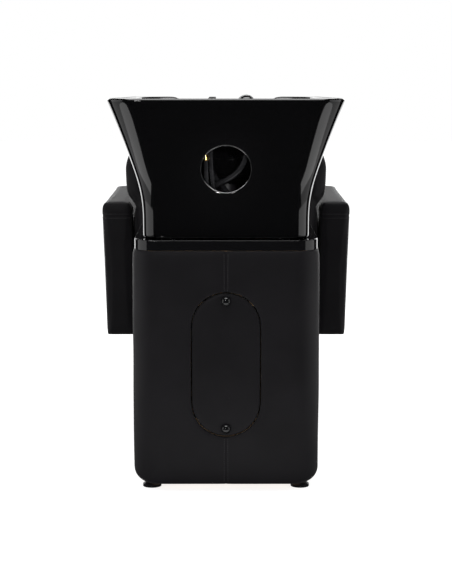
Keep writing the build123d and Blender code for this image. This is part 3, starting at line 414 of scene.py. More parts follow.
def bright_metal(name, colour, other, roughness, scale):
    made = new_material(name, colour, roughness, metallic=1.0)
    patches = cells(made, scale)
    vary(made, patches, "Base Color", colour, other, 0.1, 0.9)
    haze = clouds(made, scale * 0.4)
    vary(made, haze, "Roughness", roughness * 0.7, roughness * 1.5)
    bump(made, haze, 0.00004, 0.4)
    return made


def rubber(name, colour, roughness, ribs):
    """Black rubber; a hose shows the weave of its braid under the skin."""
    made = new_material(name, colour, roughness, specular=0.4)
    bloom = clouds(made, 40)
    light = tuple(min(1.0, c * 1.8) for c in colour)
    vary(made, bloom, "Base Color", colour, light)
    texture = cells(made, ribs)
    vary(made, texture, "Roughness", roughness * 0.85, roughness * 1.15, 0.1, 0.9)
    bump(made, texture, 0.00015, 0.6)
    return made


def nylon():
    made = new_material("nylon", (0.62, 0.60, 0.54), 0.45)
    set_inputs(shader_of(made), {"Subsurface Weight": 0.1, "Subsurface Scale": 0.002})
    cloud = clouds(made, 55)
    vary(made, cloud, "Base Color", (0.55, 0.53, 0.47), (0.68, 0.66, 0.61))
    bump(made, cloud, 0.00005, 0.5)
    return made


def make_materials():
    return {
        "black_glaze": black_glaze(),
        "black_gloss_plastic": moulded_plastic("black_gloss_plastic", (0.003, 0.003, 0.0034), 0.10, 0.4),
        "black_plastic": moulded_plastic("black_plastic", (0.006, 0.0055, 0.0068), 0.32, 0.0),
        "black_vinyl": black_vinyl(),
        "plywood": plywood(),
        "black_steel": powder_coat(),
        "zinc_steel": bright_metal("zinc_steel", (0.52, 0.54, 0.56), (0.66, 0.67, 0.69), 0.34, 160),
        "chrome": bright_metal("chrome", (0.80, 0.81, 0.82), (0.86, 0.87, 0.88), 0.07, 60),
        "brass": bright_metal("brass", (0.72, 0.43, 0.13), (0.84, 0.55, 0.20), 0.24, 220),
        "black_rubber": rubber("black_rubber", (0.010, 0.010, 0.010), 0.72, 380),
        "hose_rubber": rubber("hose_rubber", (0.006, 0.006, 0.0065), 0.14, 520),
        "nylon": nylon(),
        "soft_gel": rubber("soft_gel", (0.010, 0.0095, 0.0105), 0.46, 260),
        # A pale grey finish for the ring round the port: a painted highlight of the glaze's rounded edge.
        "painted_edge_highlight": rubber("painted_edge_highlight", (0.30, 0.30, 0.31), 0.35, 700),
        "thread": rubber("thread", (0.018, 0.017, 0.019), 0.60, 900),
    }


def finish_cad_nodes():
    """Every node that keeps its CAD mesh gets its slot's material."""
    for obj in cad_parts.values():
        for holder in obj.material_slots:
            if holder.material is None:
                continue
            name = holder.material.name.split(".")[0]
            if name in MATERIALS:
                holder.material = MATERIALS[name]


# ---------------------------------------------------------------- camera, floor and lights
# Soft lights in metres: name, centre, the point it faces, width, height and radiance.
# The panels and cards beside the basin draw the long highlights on its rounded corners.
SIDE_LIGHTS = (
    ("side_panel", (2.4, -0.7, 1.0), (0, -0.7, 1.0), 2.4, 2.0, 0.75),
    ("inner_card", (1.2, -0.3, 0.01), (1.2, -0.3, 1.0), 0.5, 1.7, 1.1),
    ("outer_card", (1.9, -0.3, 0.01), (1.9, -0.3, 1.0), 0.9, 1.7, 0.4),
    ("rear_panel", (1.3, 2.2, 0.9), (0, 0, 0.75), 1.6, 1.8, 1.5),
)
MIDDLE_LIGHTS = (
    ("backdrop", (0.0, 2.6, 1.5), (0, 0, 0.9), 3.4, 0.9, 1.3),
    ("key", (-0.7, -3.4, 1.7), (0, -0.5, 0.7), 0.35, 0.35, 30.0),
    ("floor_card", (0.0, -0.85, 0.01), (0, -0.85, 2), 1.0, 0.5, 1.0),
    ("overhead", (0.0, -0.6, 3.2), (0, -0.2, 0.6), 2.4, 2.0, 4.5),
)
FLOOR_SIZE = 14.0
LENS = 96.9
CAMERA_DISTANCE = 3.605
CAMERA_HEIGHT = 1.03
CAMERA_PITCH = math.radians(81.3)


def add_camera():
    data = bpy.data.cameras.new("camera")
    data.sensor_width = 36.0
    data.lens = LENS
    camera = bpy.data.objects.new("camera", data)
    camera.location = (0.0, REAR_FACE - CAMERA_DISTANCE, CAMERA_HEIGHT)
    camera.rotation_euler = (CAMERA_PITCH, 0, 0)
    bpy.context.scene.camera = link(camera)


def add_softbox(name, centre, towards, width, height, brightness):
    """An area light of a given radiance, which faces a point."""
    data = bpy.data.lights.new(name, "AREA")
    data.shape = "RECTANGLE"
    data.size, data.size_y = width, height
    data.energy = brightness * math.pi * width * height
    light = bpy.data.objects.new(name, data)
    light.location = centre
    aim(light, towards)
    light.visible_camera = False
    link(light)


def add_port_lamp():
    """A narrow lamp into the port, which draws thin highlights on the hoses behind it."""
    data = bpy.data.lights.new("port_lamp", "SPOT")
    data.energy = 48.0
    data.spot_size = math.radians(7.5)
    data.spot_blend = 0.4
    data.shadow_soft_size = 0.05
    lamp = bpy.data.objects.new("port_lamp", data)
    lamp.location = (0.28, -1.75, 1.05)
    aim(lamp, place(0, -16, PORT_Z))
    link(lamp)


def add_floor():
    bm = bmesh.new()
    bmesh.ops.create_grid(bm, x_segments=8, y_segments=8, size=FLOOR_SIZE)
    floor = finish_mesh(bm, "floor", smooth=False)
    white = new_material("floor_white", (0.35, 0.35, 0.35), 0.9, specular=0.0)
    set_inputs(shader_of(white), {"Emission Color": (1, 1, 1, 1), "Emission Strength": 0.82})
    tone = clouds(white, 0.6)
    vary(white, tone, "Base Color", (0.34, 0.34, 0.34), (0.36, 0.36, 0.36))
    floor.data.materials.append(white)
    floor.visible_glossy = False


def add_lighting():
    scene = bpy.context.scene
    scene.view_settings.view_transform = "Standard"
    world = bpy.data.worlds.new("studio")
    world.use_nodes = True
    set_inputs(world.node_tree.nodes["Background"], {"Color": (1, 1, 1, 1), "Strength": 1.0})
    world.cycles_visibility.glossy = False
    scene.world = world
    for name, centre, towards, width, height, brightness in SIDE_LIGHTS:
        for side, tag in ((-1, "left"), (1, "right")):
            (x, y, z), (x2, y2, z2) = centre, towards
            place_to, face_to = (side * x, y, z), (side * x2, y2, z2)
            add_softbox(f"{name}_{tag}", place_to, face_to, width, height, brightness)
    for light in MIDDLE_LIGHTS:
        add_softbox(*light)
    add_port_lamp()


# ---------------------------------------------------------------- hoses
HOT_ROUTE = (
    (-46.5, 25, 781.5), (-46.5, 25, 758), (-44, 33, 719), (-44, 54, 681), (-50, 82, 644), (-60, 103, 600),
    (-67, 114, 548), (-71, 114, 480), (-72, 107, 405), (-69, 100, 320), (-66, 97, 240), (-66, 97, 170),
)
COLD_ROUTE = (
    (-35.5, 25, 806), (-35.5, 25, 779), (-32, 30, 738), (-27, 46, 697), (-28, 73, 656), (-33, 99, 612),
    (-39, 114, 558), (-43, 119, 492), (-44, 114, 420), (-39, 107, 345), (-32, 103, 275), (-32, 103, 205),
)
SHOWER_ROUTE = (
    (47, 25, 812), (47, 25, 792), (40, 26, 772), (27, 30, 754), (8, 38, 739), (-14, 48, 727),
    (-38, 60, 714), (-62, 74, 694), (-81, 91, 663), (-91, 108, 622), (-95, 124, 568), (-93, 134, 505),
    (-91, 141, 440), (-89, 146, 375), (-78, 149, 330), (-48, 151, 298), (-8, 151, 286), (32, 150, 298),
    (62, 147, 330), (74, 143, 375), (77, 138, 440), (76, 131, 505), (69, 122, 565), (55, 112, 615),
    (34, 101, 657), (7, 87, 697), (-19, 70, 730), (-36, 51, 754), (-41, 37, 782), (-41, 37, 812),
)
WASTE_ROUTE = (
    (0, 190, 640), (0, 190, 560), (2, 194, 480), (6, 208, 390), (10, 230, 300), (8, 250, 215), (0, 262, 135),
    (0, 262, 60),
)


def add_hose(name, route, diameter):
    """A smooth tube along a route, as a NURBS curve whose control points are the route's."""
    curve = bpy.data.curves.new(name, "CURVE")
    curve.dimensions = "3D"
    curve.bevel_depth = diameter * MM / 2
    curve.bevel_resolution = 6
    curve.resolution_u = 12
    curve.use_fill_caps = True
    spline = curve.splines.new("NURBS")
    spline.points.add(len(route) - 1)
    for point, (x, u, z) in zip(spline.points, route):
        point.co = (*place(x, u, z), 1)
    spline.order_u = 3
    spline.use_endpoint_u = True
    return link(bpy.data.objects.new(name, curve))


def as_mesh(curve_object):
    """The same tube as a mesh."""
    mesh, name = evaluated_mesh(curve_object), curve_object.name
    bpy.data.objects.remove(curve_object)
    return link(bpy.data.objects.new(name, mesh))


def centre_line(name, route):
    """The points that a route's NURBS line follows."""
    guide = add_hose(name, route, 0.0)
    points = [tuple(vertex.co) for vertex in evaluated_mesh(guide).vertices]
    bpy.data.objects.remove(guide)
    return points


def add_hoses():
    """Each hose is a smooth tube along its route between its two ends, in hose rubber, in place of its CAD
    node.
    """
    supply_bend = ("stand", "bowl", (-40, 115, 480), (-40, 60, 670))
    waste_bend = ("stand", "bowl", (5, 215, 360), (0, 190, 620))
    shower_bend = ("bowl", "handset", (-21, 58, 723), (47, 25, 744))
    hoses = (
        ("hot_hose", HOT_ROUTE, 11.0, 0.635, "medium", supply_bend),
        ("cold_hose", COLD_ROUTE, 11.0, 0.623, "medium", supply_bend),
        ("shower_hose", SHOWER_ROUTE, 13.0, 1.259, "medium", shower_bend),
        ("waste_hose", WASTE_ROUTE, 40.0, 0.587, "stiff", waste_bend),
    )
    for node, route, diameter, length, stiffness, (first, second, start, end) in hoses:
        line = centre_line(node + "_line", route)
        tube = as_mesh(add_hose(node + "_tube", route, diameter))
        for face in tube.data.polygons:
            face.use_smooth = True
        paint(tube, "hose_rubber")
        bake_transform(tube)
        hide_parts(node)


# ---------------------------------------------------------------- outlines shared by the bowl's rings
REAR_STATIONS = (0.0, 0.1014, 0.2027, 0.3041, 0.4054, 0.5068, 0.6081, 0.8)
STATION_BASE = 148.0
CORNER_STEPS = 7
SIDE_STEPS = 8
FRONT_STEPS = 16


def corner_arc(before, corner, after, radius, steps):
    """Points on a corner's rounding, from one edge to the next, with its ends."""
    before, corner, after = Vector(before), Vector(corner), Vector(after)
    inward, outward = (corner - before).normalized(), (after - corner).normalized()
    turn = inward.angle(outward)
    start = corner - inward * radius * math.tan(turn / 2)
    centre = start + Vector((-inward.y, inward.x)) * radius
    arm = start - centre
    points = []
    for step in range(steps + 1):
        angle = turn * step / steps
        cos, sin = math.cos(angle), math.sin(angle)
        points.append((centre.x + arm.x * cos - arm.y * sin, centre.y + arm.x * sin + arm.y * cos))
    return points


def round_corners(corners, radii, steps):
    """The rounded corners of a closed outline, from its second corner on."""
    count = len(corners)
    arcs = []
    for k, radius in enumerate(radii):
        arcs.append(corner_arc(*(corners[(k + step) % count] for step in range(3)), radius, steps))
    return arcs


def between(start, end, steps):
    """The points strictly between two others."""
    return [tuple(mix(a, b, k / steps) for a, b in zip(start, end)) for k in range(1, steps)]


def rear_stations(half, pinned):
    """The places across the rear edge; pinned ones stay put up to the edge of the port's patch."""
    across = []
    for share in REAR_STATIONS:
        spot = share * STATION_BASE
        if not pinned:
            spot = share * half
        elif spot > PATCH_HALF + 1:
            spot = mix(PATCH_HALF, half, (share - REAR_STATIONS[-2]) / (1 - REAR_STATIONS[-2]))
        across.append(spot)
    across.append(half)
    return [-x for x in reversed(across[1:])] + across


def outline(rear, front, rear_half, front_half, rear_corner, front_corner, pinned=True):
    """Points (x, u) round a rounded trapezium, from the left end of its rear edge."""
    corners = ((-rear_half, rear), (rear_half, rear), (front_half, front), (-front_half, front))
    arcs = round_corners(corners, (rear_corner, front_corner, front_corner, rear_corner), CORNER_STEPS)
    points = [(x, rear) for x in rear_stations(arcs[0][0][0], pinned)][:-1]
    points += arcs[0] + between(arcs[0][-1], arcs[1][0], SIDE_STEPS)
    points += arcs[1] + between(arcs[1][-1], arcs[2][0], FRONT_STEPS)
    points += arcs[2] + between(arcs[2][-1], arcs[3][0], SIDE_STEPS)
    return points + arcs[3][:-1]


# ---------------------------------------------------------------- bowl
def drop_at(z):
    """The rim's front is lower than its rear; the difference grows up the slope."""
    return RIM_DROP * min(max((z - STRAIGHT_START) / (SHOULDER - STRAIGHT_START), 0.0), 1.0)


def skirt_points(z, inset):
    drop = drop_at(z)
    rear_flare, front_flare = flare(z), flare(z - drop)
    spread = RIM_SPREAD * (rear_flare / flare(RIM_HEIGHT)) ** 2
    rear = BASE_REAR - rear_flare + inset
    front = BASE_FRONT + FRONT_FLARE * front_flare - inset
    points = outline(
        rear,
        front,
        BASE_HALF + rear_flare + spread - inset,
        BASE_HALF - 6 + 0.47 * front_flare + spread - inset,
        48 + 0.36 * rear_flare - inset,
        60 + 0.8 * front_flare - inset,
    )
    return [(x, u, z - drop * (u - rear) / (front - rear)) for x, u in points]


def basin_values(z):
    """The basin's plan at height z, between the heights where it is given."""
    for upper, lower in zip(BASIN_SECTIONS, BASIN_SECTIONS[1:]):
        if z >= lower[0]:
            share = (upper[0] - z) / (upper[0] - lower[0])
            return [mix(a, b, share) for a, b in zip(upper[1:], lower[1:])]
    return list(BASIN_SECTIONS[-1][1:])


def basin_points(z, grow=0.0, pull_rear=None):
    rear, front, rear_half, front_half, corner = basin_values(z)
    rear_grow = grow if pull_rear is None else pull_rear
    points = outline(
        rear - rear_grow, front + grow, rear_half + grow, front_half + grow, corner, corner, pinned=False
    )
    return [(x, u, z) for x, u in points]


def notch_top(x):
    """The height of the rim at x on the client's side, where it dips for the neck."""
    if abs(x) >= NOTCH_RADIUS:
        return RIM_HEIGHT
    cut = NOTCH_CENTRE - math.sqrt(NOTCH_RADIUS**2 - x**2)
    return lower_of(RIM_HEIGHT, cut + drop_at(cut), NOTCH_SOFTENING)


def dipped(z, x, u):
    """A height on the client's side, squeezed down under the neck notch."""
    if u < 300 or z < NOTCH_FLOOR:
        return z
    return NOTCH_FLOOR + (z - NOTCH_FLOOR) * (notch_top(x) - NOTCH_FLOOR) / (RIM_HEIGHT - NOTCH_FLOOR)


def dipped_ring(points_at, z):
    """A ring at height z, each of whose points is taken again at its own dipped height."""
    cache = {}
    ring = []
    for column, (x, u, level) in enumerate(points_at(z)):
        low = round(dipped(z, x, u), 3)
        if low not in cache:
            cache[low] = points_at(low)
        ring.append(cache[low][column])
    return ring


def outer_ring(z, inset=0.0):
    return dipped_ring(lambda level: skirt_points(level, inset), z)


def tray_inset(z):
    return 14 + 12 * (max(z, DECK_TOP) - DECK_TOP) / (SHOULDER - DECK_TOP)


def inner_ring(z, share, grow=0.0):
    """A ring on the inside: share is 0 on the tray's wall and 1 on the basin, and grow widens it."""
    tray = dipped_ring(lambda level: skirt_points(level, tray_inset(level) - grow), z)
    basin = dipped_ring(lambda level: basin_points(level, grow), z)
    ring = []
    for column, (wall, pool) in enumerate(zip(tray, basin)):
        own_share = share
        if wall[1] > 300:
            own_share = max(share, ease((DECK_TOP + 4 - wall[2]) / 9))
        ring.append(tuple(mix(a, b, own_share) for a, b in zip(wall, pool)))
    return ring


def raised_hem(ring):
    """The skirt's foot is a little higher on the client's side, where it clears the chair."""
    lifted = []
    for x, u, z in ring:
        lift = 9.5 * ease((u - 325) / 20) * max(FLARE_START - z, 0) / (FLARE_START - SKIRT_BOTTOM)
        lifted.append((x, u, z + lift))
    return lifted


def drain_ring(pool, z, radius):
    """A circle round the drain whose points lie in the same directions as those of a basin ring."""
    ring = []
    for x, u, level in pool:
        angle = math.atan2(u - DRAIN_U, x)
        ring.append((radius * math.cos(angle), DRAIN_U + radius * math.sin(angle), z))
    return ring


PATCH_LEVELS = (714.0, 738.0, 762.0, 786.0, 811.0)
OUTER_LEVELS = (641.0, 658.0, 674.0, PATCH_LOW) + PATCH_LEVELS + (PATCH_HIGH, 858.0, 882.0, 902.0)
UNDERSIDE_LEVELS = (739.0, 756.0, 773.0, 791.0, 810.0, 828.0, 841.0)
HEM_LEVEL = 620.0
# Heights down the inside, each with its share between the tray's wall (0) and the basin (1).
INNER_LEVELS = (
    (903, 0), (886, 0), (873, 0), (866, 0), (863, 0.04), (862, 0.12), (862, 0.38), (862, 0.64),
    (862, 0.88), (861.4, 0.97), (858, 1), (850, 1), (836, 1), (818, 1), (800, 1), (784, 1), (768, 1),
    (754, 1), (743, 1), (735, 1),
)


def bowl_rings():
    """All the bowl's rings: up the outside, over the rim, down the basin and back underneath."""
    rings = []
    for z, inset in ((SKIRT_BOTTOM, 2.0), (SKIRT_BOTTOM + 2, 0.0), (HEM_LEVEL, 0.0)):
        rings.append(raised_hem(skirt_points(z, inset)))
    marks = {}
    for z in OUTER_LEVELS:
        if z in (PATCH_LOW, PATCH_HIGH):
            marks["outer", z] = len(rings)
        rings.append(outer_ring(z))
    for turn in (0, 25, 50, 75, 90):
        angle = math.radians(turn)
        inset = LIP_RADIUS * (1 - math.cos(angle))
        rings.append(outer_ring(SHOULDER + LIP_RADIUS * math.sin(angle), inset))
    rim_outside = rings[-1]
    rim_inside = inner_ring(RIM_HEIGHT, 0.0, INNER_LIP)
    rings += [mix_rings(rim_outside, rim_inside, t) for t in (0.35, 0.7)]
    for turn in (90, 60, 30, 0):
        angle = math.radians(turn)
        z = RIM_HEIGHT - INNER_LIP * (1 - math.sin(angle))
        rings.append(inner_ring(z, 0.0, INNER_LIP * (1 - math.cos(angle))))
    for z, share in INNER_LEVELS:
        rings.append(inner_ring(float(z), share))
    pool = basin_points(BASIN_SECTIONS[-1][0])
    rings.append(pool)
    rings += [mix_rings(pool, drain_ring(pool, 729.0, DRAIN_RADIUS + 2), t) for t in (0.4, 0.75, 1.0)]
    rings += [drain_ring(pool, z, DRAIN_RADIUS) for z in (727.0, 722.0)]
    under = [(x, u, z - UNDERSIDE_DROP) for x, u, z in basin_points(730.0, 6.0, UNDERSIDE_OFFSET)]
    rings += [mix_rings(drain_ring(pool, 721.0, DRAIN_RADIUS + 2), under, t) for t in (0, 0.5, 1.0)]
    for z in UNDERSIDE_LEVELS:
        above = basin_points(z + UNDERSIDE_DROP, 4.0, UNDERSIDE_OFFSET)
        rings.append([(x, u, z) for x, u, level in above])
    under, wall = rings[-1], skirt_points(846.0, CERAMIC)
    ledge = [(x, u, DECK_BOTTOM) for x, u, z in wall]
    rings += [mix_rings(under, ledge, t) for t in (0.3, 0.7)]
    for k in (-2, -1):
        rings[k] = [(x, u, DECK_BOTTOM - 1) for x, u, z in rings[k]]
    rings.append(wall)
    for z in reversed(OUTER_LEVELS[:-3]):
        if z in (PATCH_LOW, PATCH_HIGH):
            marks["inner", z] = len(rings)
        rings.append(skirt_points(z, CERAMIC))
    rings += [raised_hem(skirt_points(z, CERAMIC)) for z in (HEM_LEVEL, SKIRT_BOTTOM + 2)]
    rings.append(raised_hem(skirt_points(SKIRT_BOTTOM, CERAMIC - 2)))
    return rings, marks


def slope_reach(z, inset):
    """How far up the slope of the skirt's rear face a height is, from the port's centre."""
    u = BASE_REAR - flare(z) + inset
    centre = BASE_REAR - flare(PORT_Z)
    return (z - PORT_Z) * math.cos(FLARE_ANGLE) - (u - centre) * math.sin(FLARE_ANGLE)


def slope_height(reach, inset):
    """The height on the skirt's rear face that is a given reach up the slope from the port's centre."""
    low, high = SKIRT_BOTTOM, RIM_HEIGHT
    for _ in range(40):
        z = (low + high) / 2
        low, high = (z, high) if slope_reach(z, inset) < reach else (low, z)
    return z


def on_slope(x, reach, inset, depth=0.0):
    """A point on the skirt's rear face, or below it by depth along the port's axis."""
    z = slope_height(reach, inset)
    u = BASE_REAR - flare(z) + inset
    return x, u + depth * math.cos(FLARE_ANGLE), z + depth * math.sin(FLARE_ANGLE)


# Circles round the port, on the skirt's outer and inner faces: radius and depth.
PORT_OUTER_ROLL = (
    (PORT_RADIUS + PORT_LIP, 0.0), (PORT_RADIUS + 1.2, 0.4), (PORT_RADIUS + 0.2, 1.6),
    (PORT_RADIUS, PORT_LIP), (PORT_RADIUS, 6.5),
)
PORT_INNER_ROLL = ((PORT_RADIUS + 2.5, 0.0), (PORT_RADIUS + 0.6, -0.4), (PORT_RADIUS, -1.8))


def port_rings(border, inset, circles):
    """Rings from a rectangle's border to the port's circle, and then the circles given."""
    centre_reach = (slope_reach(PATCH_HIGH, inset) + slope_reach(PATCH_LOW, inset)) / 2
    half_reach = (slope_reach(PATCH_HIGH, inset) - slope_reach(PATCH_LOW, inset)) / 2
    flat = [(x, slope_reach(z, inset)) for x, u, z in border]
    angles = [math.atan2((reach - centre_reach) / half_reach, x / PATCH_HALF) for x, reach in flat]
    rings = []
    first = circles[0][0]
    for share in (0.3, 0.58, 0.82, 0.95):
        ring = []
        for (x, reach), angle in zip(flat, angles):
            round_x, round_reach = first * math.cos(angle), first * math.sin(angle)
            ring.append(on_slope(mix(x, round_x, share), mix(reach, round_reach, share), inset))
        rings.append(ring)
    for radius, depth in circles:
        spots = [(radius * math.cos(angle), radius * math.sin(angle)) for angle in angles]
        rings.append([on_slope(x, reach, inset, depth) for x, reach in spots])
    return rings


def patch_border(grid, low_row, high_row, left, right):
    """The vertices round a rectangle of a grid, in order."""
    step = 1 if high_row > low_row else -1
    border = [grid[low_row][column] for column in range(left, right + 1)]
    border += [grid[row][right] for row in range(low_row + step, high_row, step)]
    border += [grid[high_row][column] for column in range(right, left - 1, -1)]
    return border + [grid[row][left] for row in range(high_row - step, low_row, -step)]


def millimetres(vertex):
    return vertex.co.x / MM, (vertex.co.y - REAR_FACE) / MM, vertex.co.z / MM


def add_bowl():
    rings, marks = bowl_rings()
    bm = bmesh.new()
    grid = [ring_of_verts(bm, ring) for ring in rings]
    stations = len(REAR_STATIONS)
    left, right = stations - 6, stations + 6
    spans = []
    for skin in ("outer", "inner"):
        ends = sorted((marks[skin, PATCH_LOW], marks[skin, PATCH_HIGH]))
        spans.append(range(ends[0], ends[1]))

    def in_port(row, column):
        return left <= column < right and any(row in span for span in spans)

    cover_grid(bm, grid, len(grid), in_port)
    ends = []
    for skin, inset, circles in (("outer", 0.0, PORT_OUTER_ROLL), ("inner", CERAMIC, PORT_INNER_ROLL)):
        border = patch_border(grid, marks[skin, PATCH_LOW], marks[skin, PATCH_HIGH], left, right)
        inward = port_rings([millimetres(vertex) for vertex in border], inset, circles)
        loops = [border] + [ring_of_verts(bm, ring) for ring in inward]
        bridge_all(bm, loops)
        ends.append(loops[-1])
    bridge(bm, ends[0], ends[1])
    drop_loose(bm)
    shell = finish_mesh(bm, "bowl_glazed")
    subdivide(shell, 2)
    paint(shell, "black_glaze", "bowl")
    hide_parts("bowl")
    add_port_highlight_ring()
    add_lugs()


def add_port_highlight_ring():
    """A thin pale ring round the port's edge: a painted highlight, standing in for the light that the
    glaze's rounded edge catches.
    """
    bm = bmesh.new()
    loops = []
    for step in range(72):
        angle = math.tau * step / 72
        loop = []
        for turn in range(8):
            around = math.tau * turn / 8
            radius = PORT_RADIUS - 0.1 + PORT_HIGHLIGHT_TUBE * math.cos(around)
            depth = PORT_LIP + PORT_HIGHLIGHT_TUBE * math.sin(around)
            spot = on_slope(radius * math.cos(angle), radius * math.sin(angle), 0.0, depth)
            loop.append(bm.verts.new(place(*spot)))
        loops.append(loop)
    bridge_all(bm, loops + loops[:1])
    edge = finish_mesh(bm, "port_highlight_ring")
    paint(edge, "black_glaze", "bowl", finish="painted_edge_highlight")
    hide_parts("bowl")


LUG_X = 168.5
LUG_PLACES = {"rear": 110.0, "front": 310.0}
LUG_SIZE = (37, 30, 25)
LUG_MIDDLE = 652.5


def add_lugs():
    """Four blocks inside the skirt's sides, which the cradle's bolts go into."""
    for side, x in (("left", -LUG_X), ("right", LUG_X)):
        for end, u in LUG_PLACES.items():
            bm = bmesh.new()
            bmesh.ops.create_cube(bm, size=1.0)
            for vertex in bm.verts:
                across, along, up = (share * size for share, size in zip(vertex.co, LUG_SIZE))
                vertex.co = place(x + across, u + along, LUG_MIDDLE + up)
            bmesh.ops.bevel(bm, geom=bm.edges, offset=3 * MM, segments=3, affect="EDGES", profile=0.5)
            lug = finish_mesh(bm, f"bowl_lug_{end}_{side}")
            paint(lug, "black_glaze", "bowl")
            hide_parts("bowl")


# ---------------------------------------------------------------- upholstery tools
def prism(name, section, low, high, axis, shrink, rounding):
    """A closed block with the given section, along x or u, made smaller all round by shrink."""
    middle = [sum(point[k] for point in section) / len(section) for k in (0, 1)]
    bm = bmesh.new()
    rings = []
    for along in (low + shrink, high - shrink):
        ring = []
        for a, b in section:
            a -= math.copysign(shrink, a - middle[0])
            b -= math.copysign(shrink, b - middle[1])
            ring.append(bm.verts.new(place(along, a, b) if axis == "x" else place(a, along, b)))
        rings.append(ring)
    for ring in rings:
        bm.faces.new(ring)
    bridge(bm, rings[0], rings[1])
    bmesh.ops.bevel(bm, geom=bm.edges, offset=rounding * MM, segments=3, affect="EDGES", profile=0.5)
    return finish_mesh(bm, name)


def reshape(obj, rule):
    """Moves every vertex by a rule in millimetres."""
    for vertex in obj.data.vertices:
        vertex.co = place(*rule(*millimetres(vertex)))


def weave(obj):
    """Covers a block with an even net of small faces, fine enough for its cover to swell and crease."""
    net = obj.modifiers.new("net", "REMESH")
    net.mode = "VOXEL"
    net.voxel_size = FABRIC_VOXEL * MM
    net.use_smooth_shade = True
    apply_modifiers(obj)


def inflate(obj, cap, pressure=FILLING_PRESSURE):
    """The filling pushes the cover out until the fabric is tight, by no more than a cap."""
    start = [vertex.co.copy() for vertex in obj.data.vertices]
    cloth = obj.modifiers.new("filling", "CLOTH")
    cloth.settings.quality = 5
    cloth.settings.use_pressure = True
    cloth.settings.uniform_pressure_force = pressure
    cloth.settings.effector_weights.gravity = 0
    for frame_number in range(1, FILLING_FRAMES + 1):
        bpy.context.scene.frame_set(frame_number)
    apply_modifiers(obj)
    bpy.context.scene.frame_set(1)
    for vertex, origin in zip(obj.data.vertices, start):
        move = vertex.co - origin
        if move.length > cap * MM:
            vertex.co = origin + move * (cap * MM / move.length)


def groove(obj, distance, depth=2.2, width=4.0):
    """Pulls the cover in along a seam, given each point's distance from it."""
    for vertex, normal in zip(obj.data.vertices, [v.vector.copy() for v in obj.data.vertex_normals]):
        away = distance(*millimetres(vertex))
        vertex.co -= normal * depth * MM * math.exp(-((away / width) ** 2))


def stitch(bm, centre, direction, normal):
    """One stitch: a short thread with tapered ends, half sunk in the cover."""
    side = direction.cross(normal).normalized()
    rings = []
    for share, size in ((-0.5, 0.3), (-0.3, 1.0), (0.3, 1.0), (0.5, 0.3)):
        ring = []
        for k in range(6):
            angle = math.tau * k / 6
            off = (side * math.cos(angle) + normal * math.sin(angle)) * STITCH_RADIUS * size * MM
            ring.append(bm.verts.new(centre + direction * share * STITCH_LENGTH * MM + off))
        rings.append(ring)
    bridge_all(bm, rings)
    bm.faces.new(rings[0])
    bm.faces.new(rings[-1])


def add_stitching(name, target, paths, node, body):
    """Rows of stitches along paths, laid on the nearest surface of a finished piece."""
    surface = BVHTree.FromObject(target, bpy.context.evaluated_depsgraph_get())
    bm = bmesh.new()
    for path in paths:
        corners = [place(*point) for point in path]
        for start, end in zip(corners, corners[1:]):
            run = end - start
            count = max(1, round(run.length / MM / STITCH_PITCH))
            for k in range(count):
                spot, normal, _, _ = surface.find_nearest(start + run * (k + 0.5) / count)
                direction = (run - normal * run.dot(normal)).normalized()
                stitch(bm, spot + normal * 0.15 * MM, direction, normal)
    thread = finish_mesh(bm, name)
    paint(thread, "black_vinyl", body, finish="thread")
    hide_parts(node)


def finish_cushion(cushion, node, body, levels=1):
    subdivide(cushion, levels)
    paint(cushion, "black_vinyl", body)
    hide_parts(node)


# ---------------------------------------------------------------- cabinet cover
COVER_STATIONS = (0.0, 2.2, 7.0, 18.0, 34.0, 52.0, 70.0, 88.0, 104.0, 120.0, 140.0)
COVER_PATCH_COLUMNS = 9
COVER_PATCH_LOW = 86.0
COVER_PATCH_HIGH = 524.0
COVER_STEP = 26.0
COVER_LEVELS = (
    (50.0,) + tuple(COVER_PATCH_LOW + COVER_STEP * row for row in range(16))
    + (500.0, COVER_PATCH_HIGH, 545.0, 562.0)
)
# Heights and insets over the cover's top edge, and the hem's turns from underneath to upright.
COVER_TOP_ROLL = ((570.0, 0.8), (573.6, 3.0), (573.8, 7.0), (566.0, 7.6))
HEM_TURNS = (90, 68, 45, 22, 0)
HEM_TUCKED = 16.0
REAR_HEM_RADIUS = 8.0
# Rings round the hatch's opening: how far outside its edge, and how deep.
OPENING_ROLL = ((3.0, -0.6), (1.2, 0.3), (0.2, 2.0), (0.0, 6.8))


def cover_outline():
    """The cabinet's plan, from the left end of its rear face, and the outward direction at each point."""
    half, front = CABINET_HALF, CABINET_DEPTH
    corners = ((-half, 0.0), (half, 0.0), (half, front), (-half, front))
    arcs = round_corners(corners, [CABINET_CORNER] * 4, 9)
    points = [(-x, 0.0) for x in reversed(COVER_STATIONS[1:])] + [(x, 0.0) for x in COVER_STATIONS]
    for arc, following, steps in zip(arcs, arcs[1:] + [None], (10, 14, 10, 0)):
        points += arc
        if following is not None:
            points += between(arc[-1], following[0], steps)
    count = len(points)
    outward = []
    for k in range(count):
        (x0, u0), (x1, u1) = points[k - 1], points[(k + 1) % count]
        length = math.hypot(x1 - x0, u1 - u0)
        outward.append(((u1 - u0) / length, -(x1 - x0) / length))
    return points, outward


def cover_swell(x, u, z):
    """How far the padded cover stands out: a little on its panels, less at its seams and top edge."""
    panel = max(math.sin(math.pi * min(max((z - 20) / 556, 0.0), 1.0)), 0.0) ** 0.6
    ripple = 0.7 * noise.noise(Vector((x, u, z)) / 95) + 0.35 * noise.noise(Vector((x, u, z * 0.6)) / 34)
    seam = 1.2 * math.exp(-abs(x) / 8) + (SEAM_DEPTH if abs(x) < 0.1 else 0.0) if u < 1 else 0.0
    tuck = 2.0 * math.exp(-(CABINET_TOP - z) / 12)
    return 1.5 * panel + ripple - seam - tuck


def cover_ring(plan, z, inset=0.0):
    ring = []
    for (x, u), (out_x, out_u) in plan:
        out = cover_swell(x, u, z) - inset
        ring.append((x + out_x * out, u + out_u * out, z))
    return ring


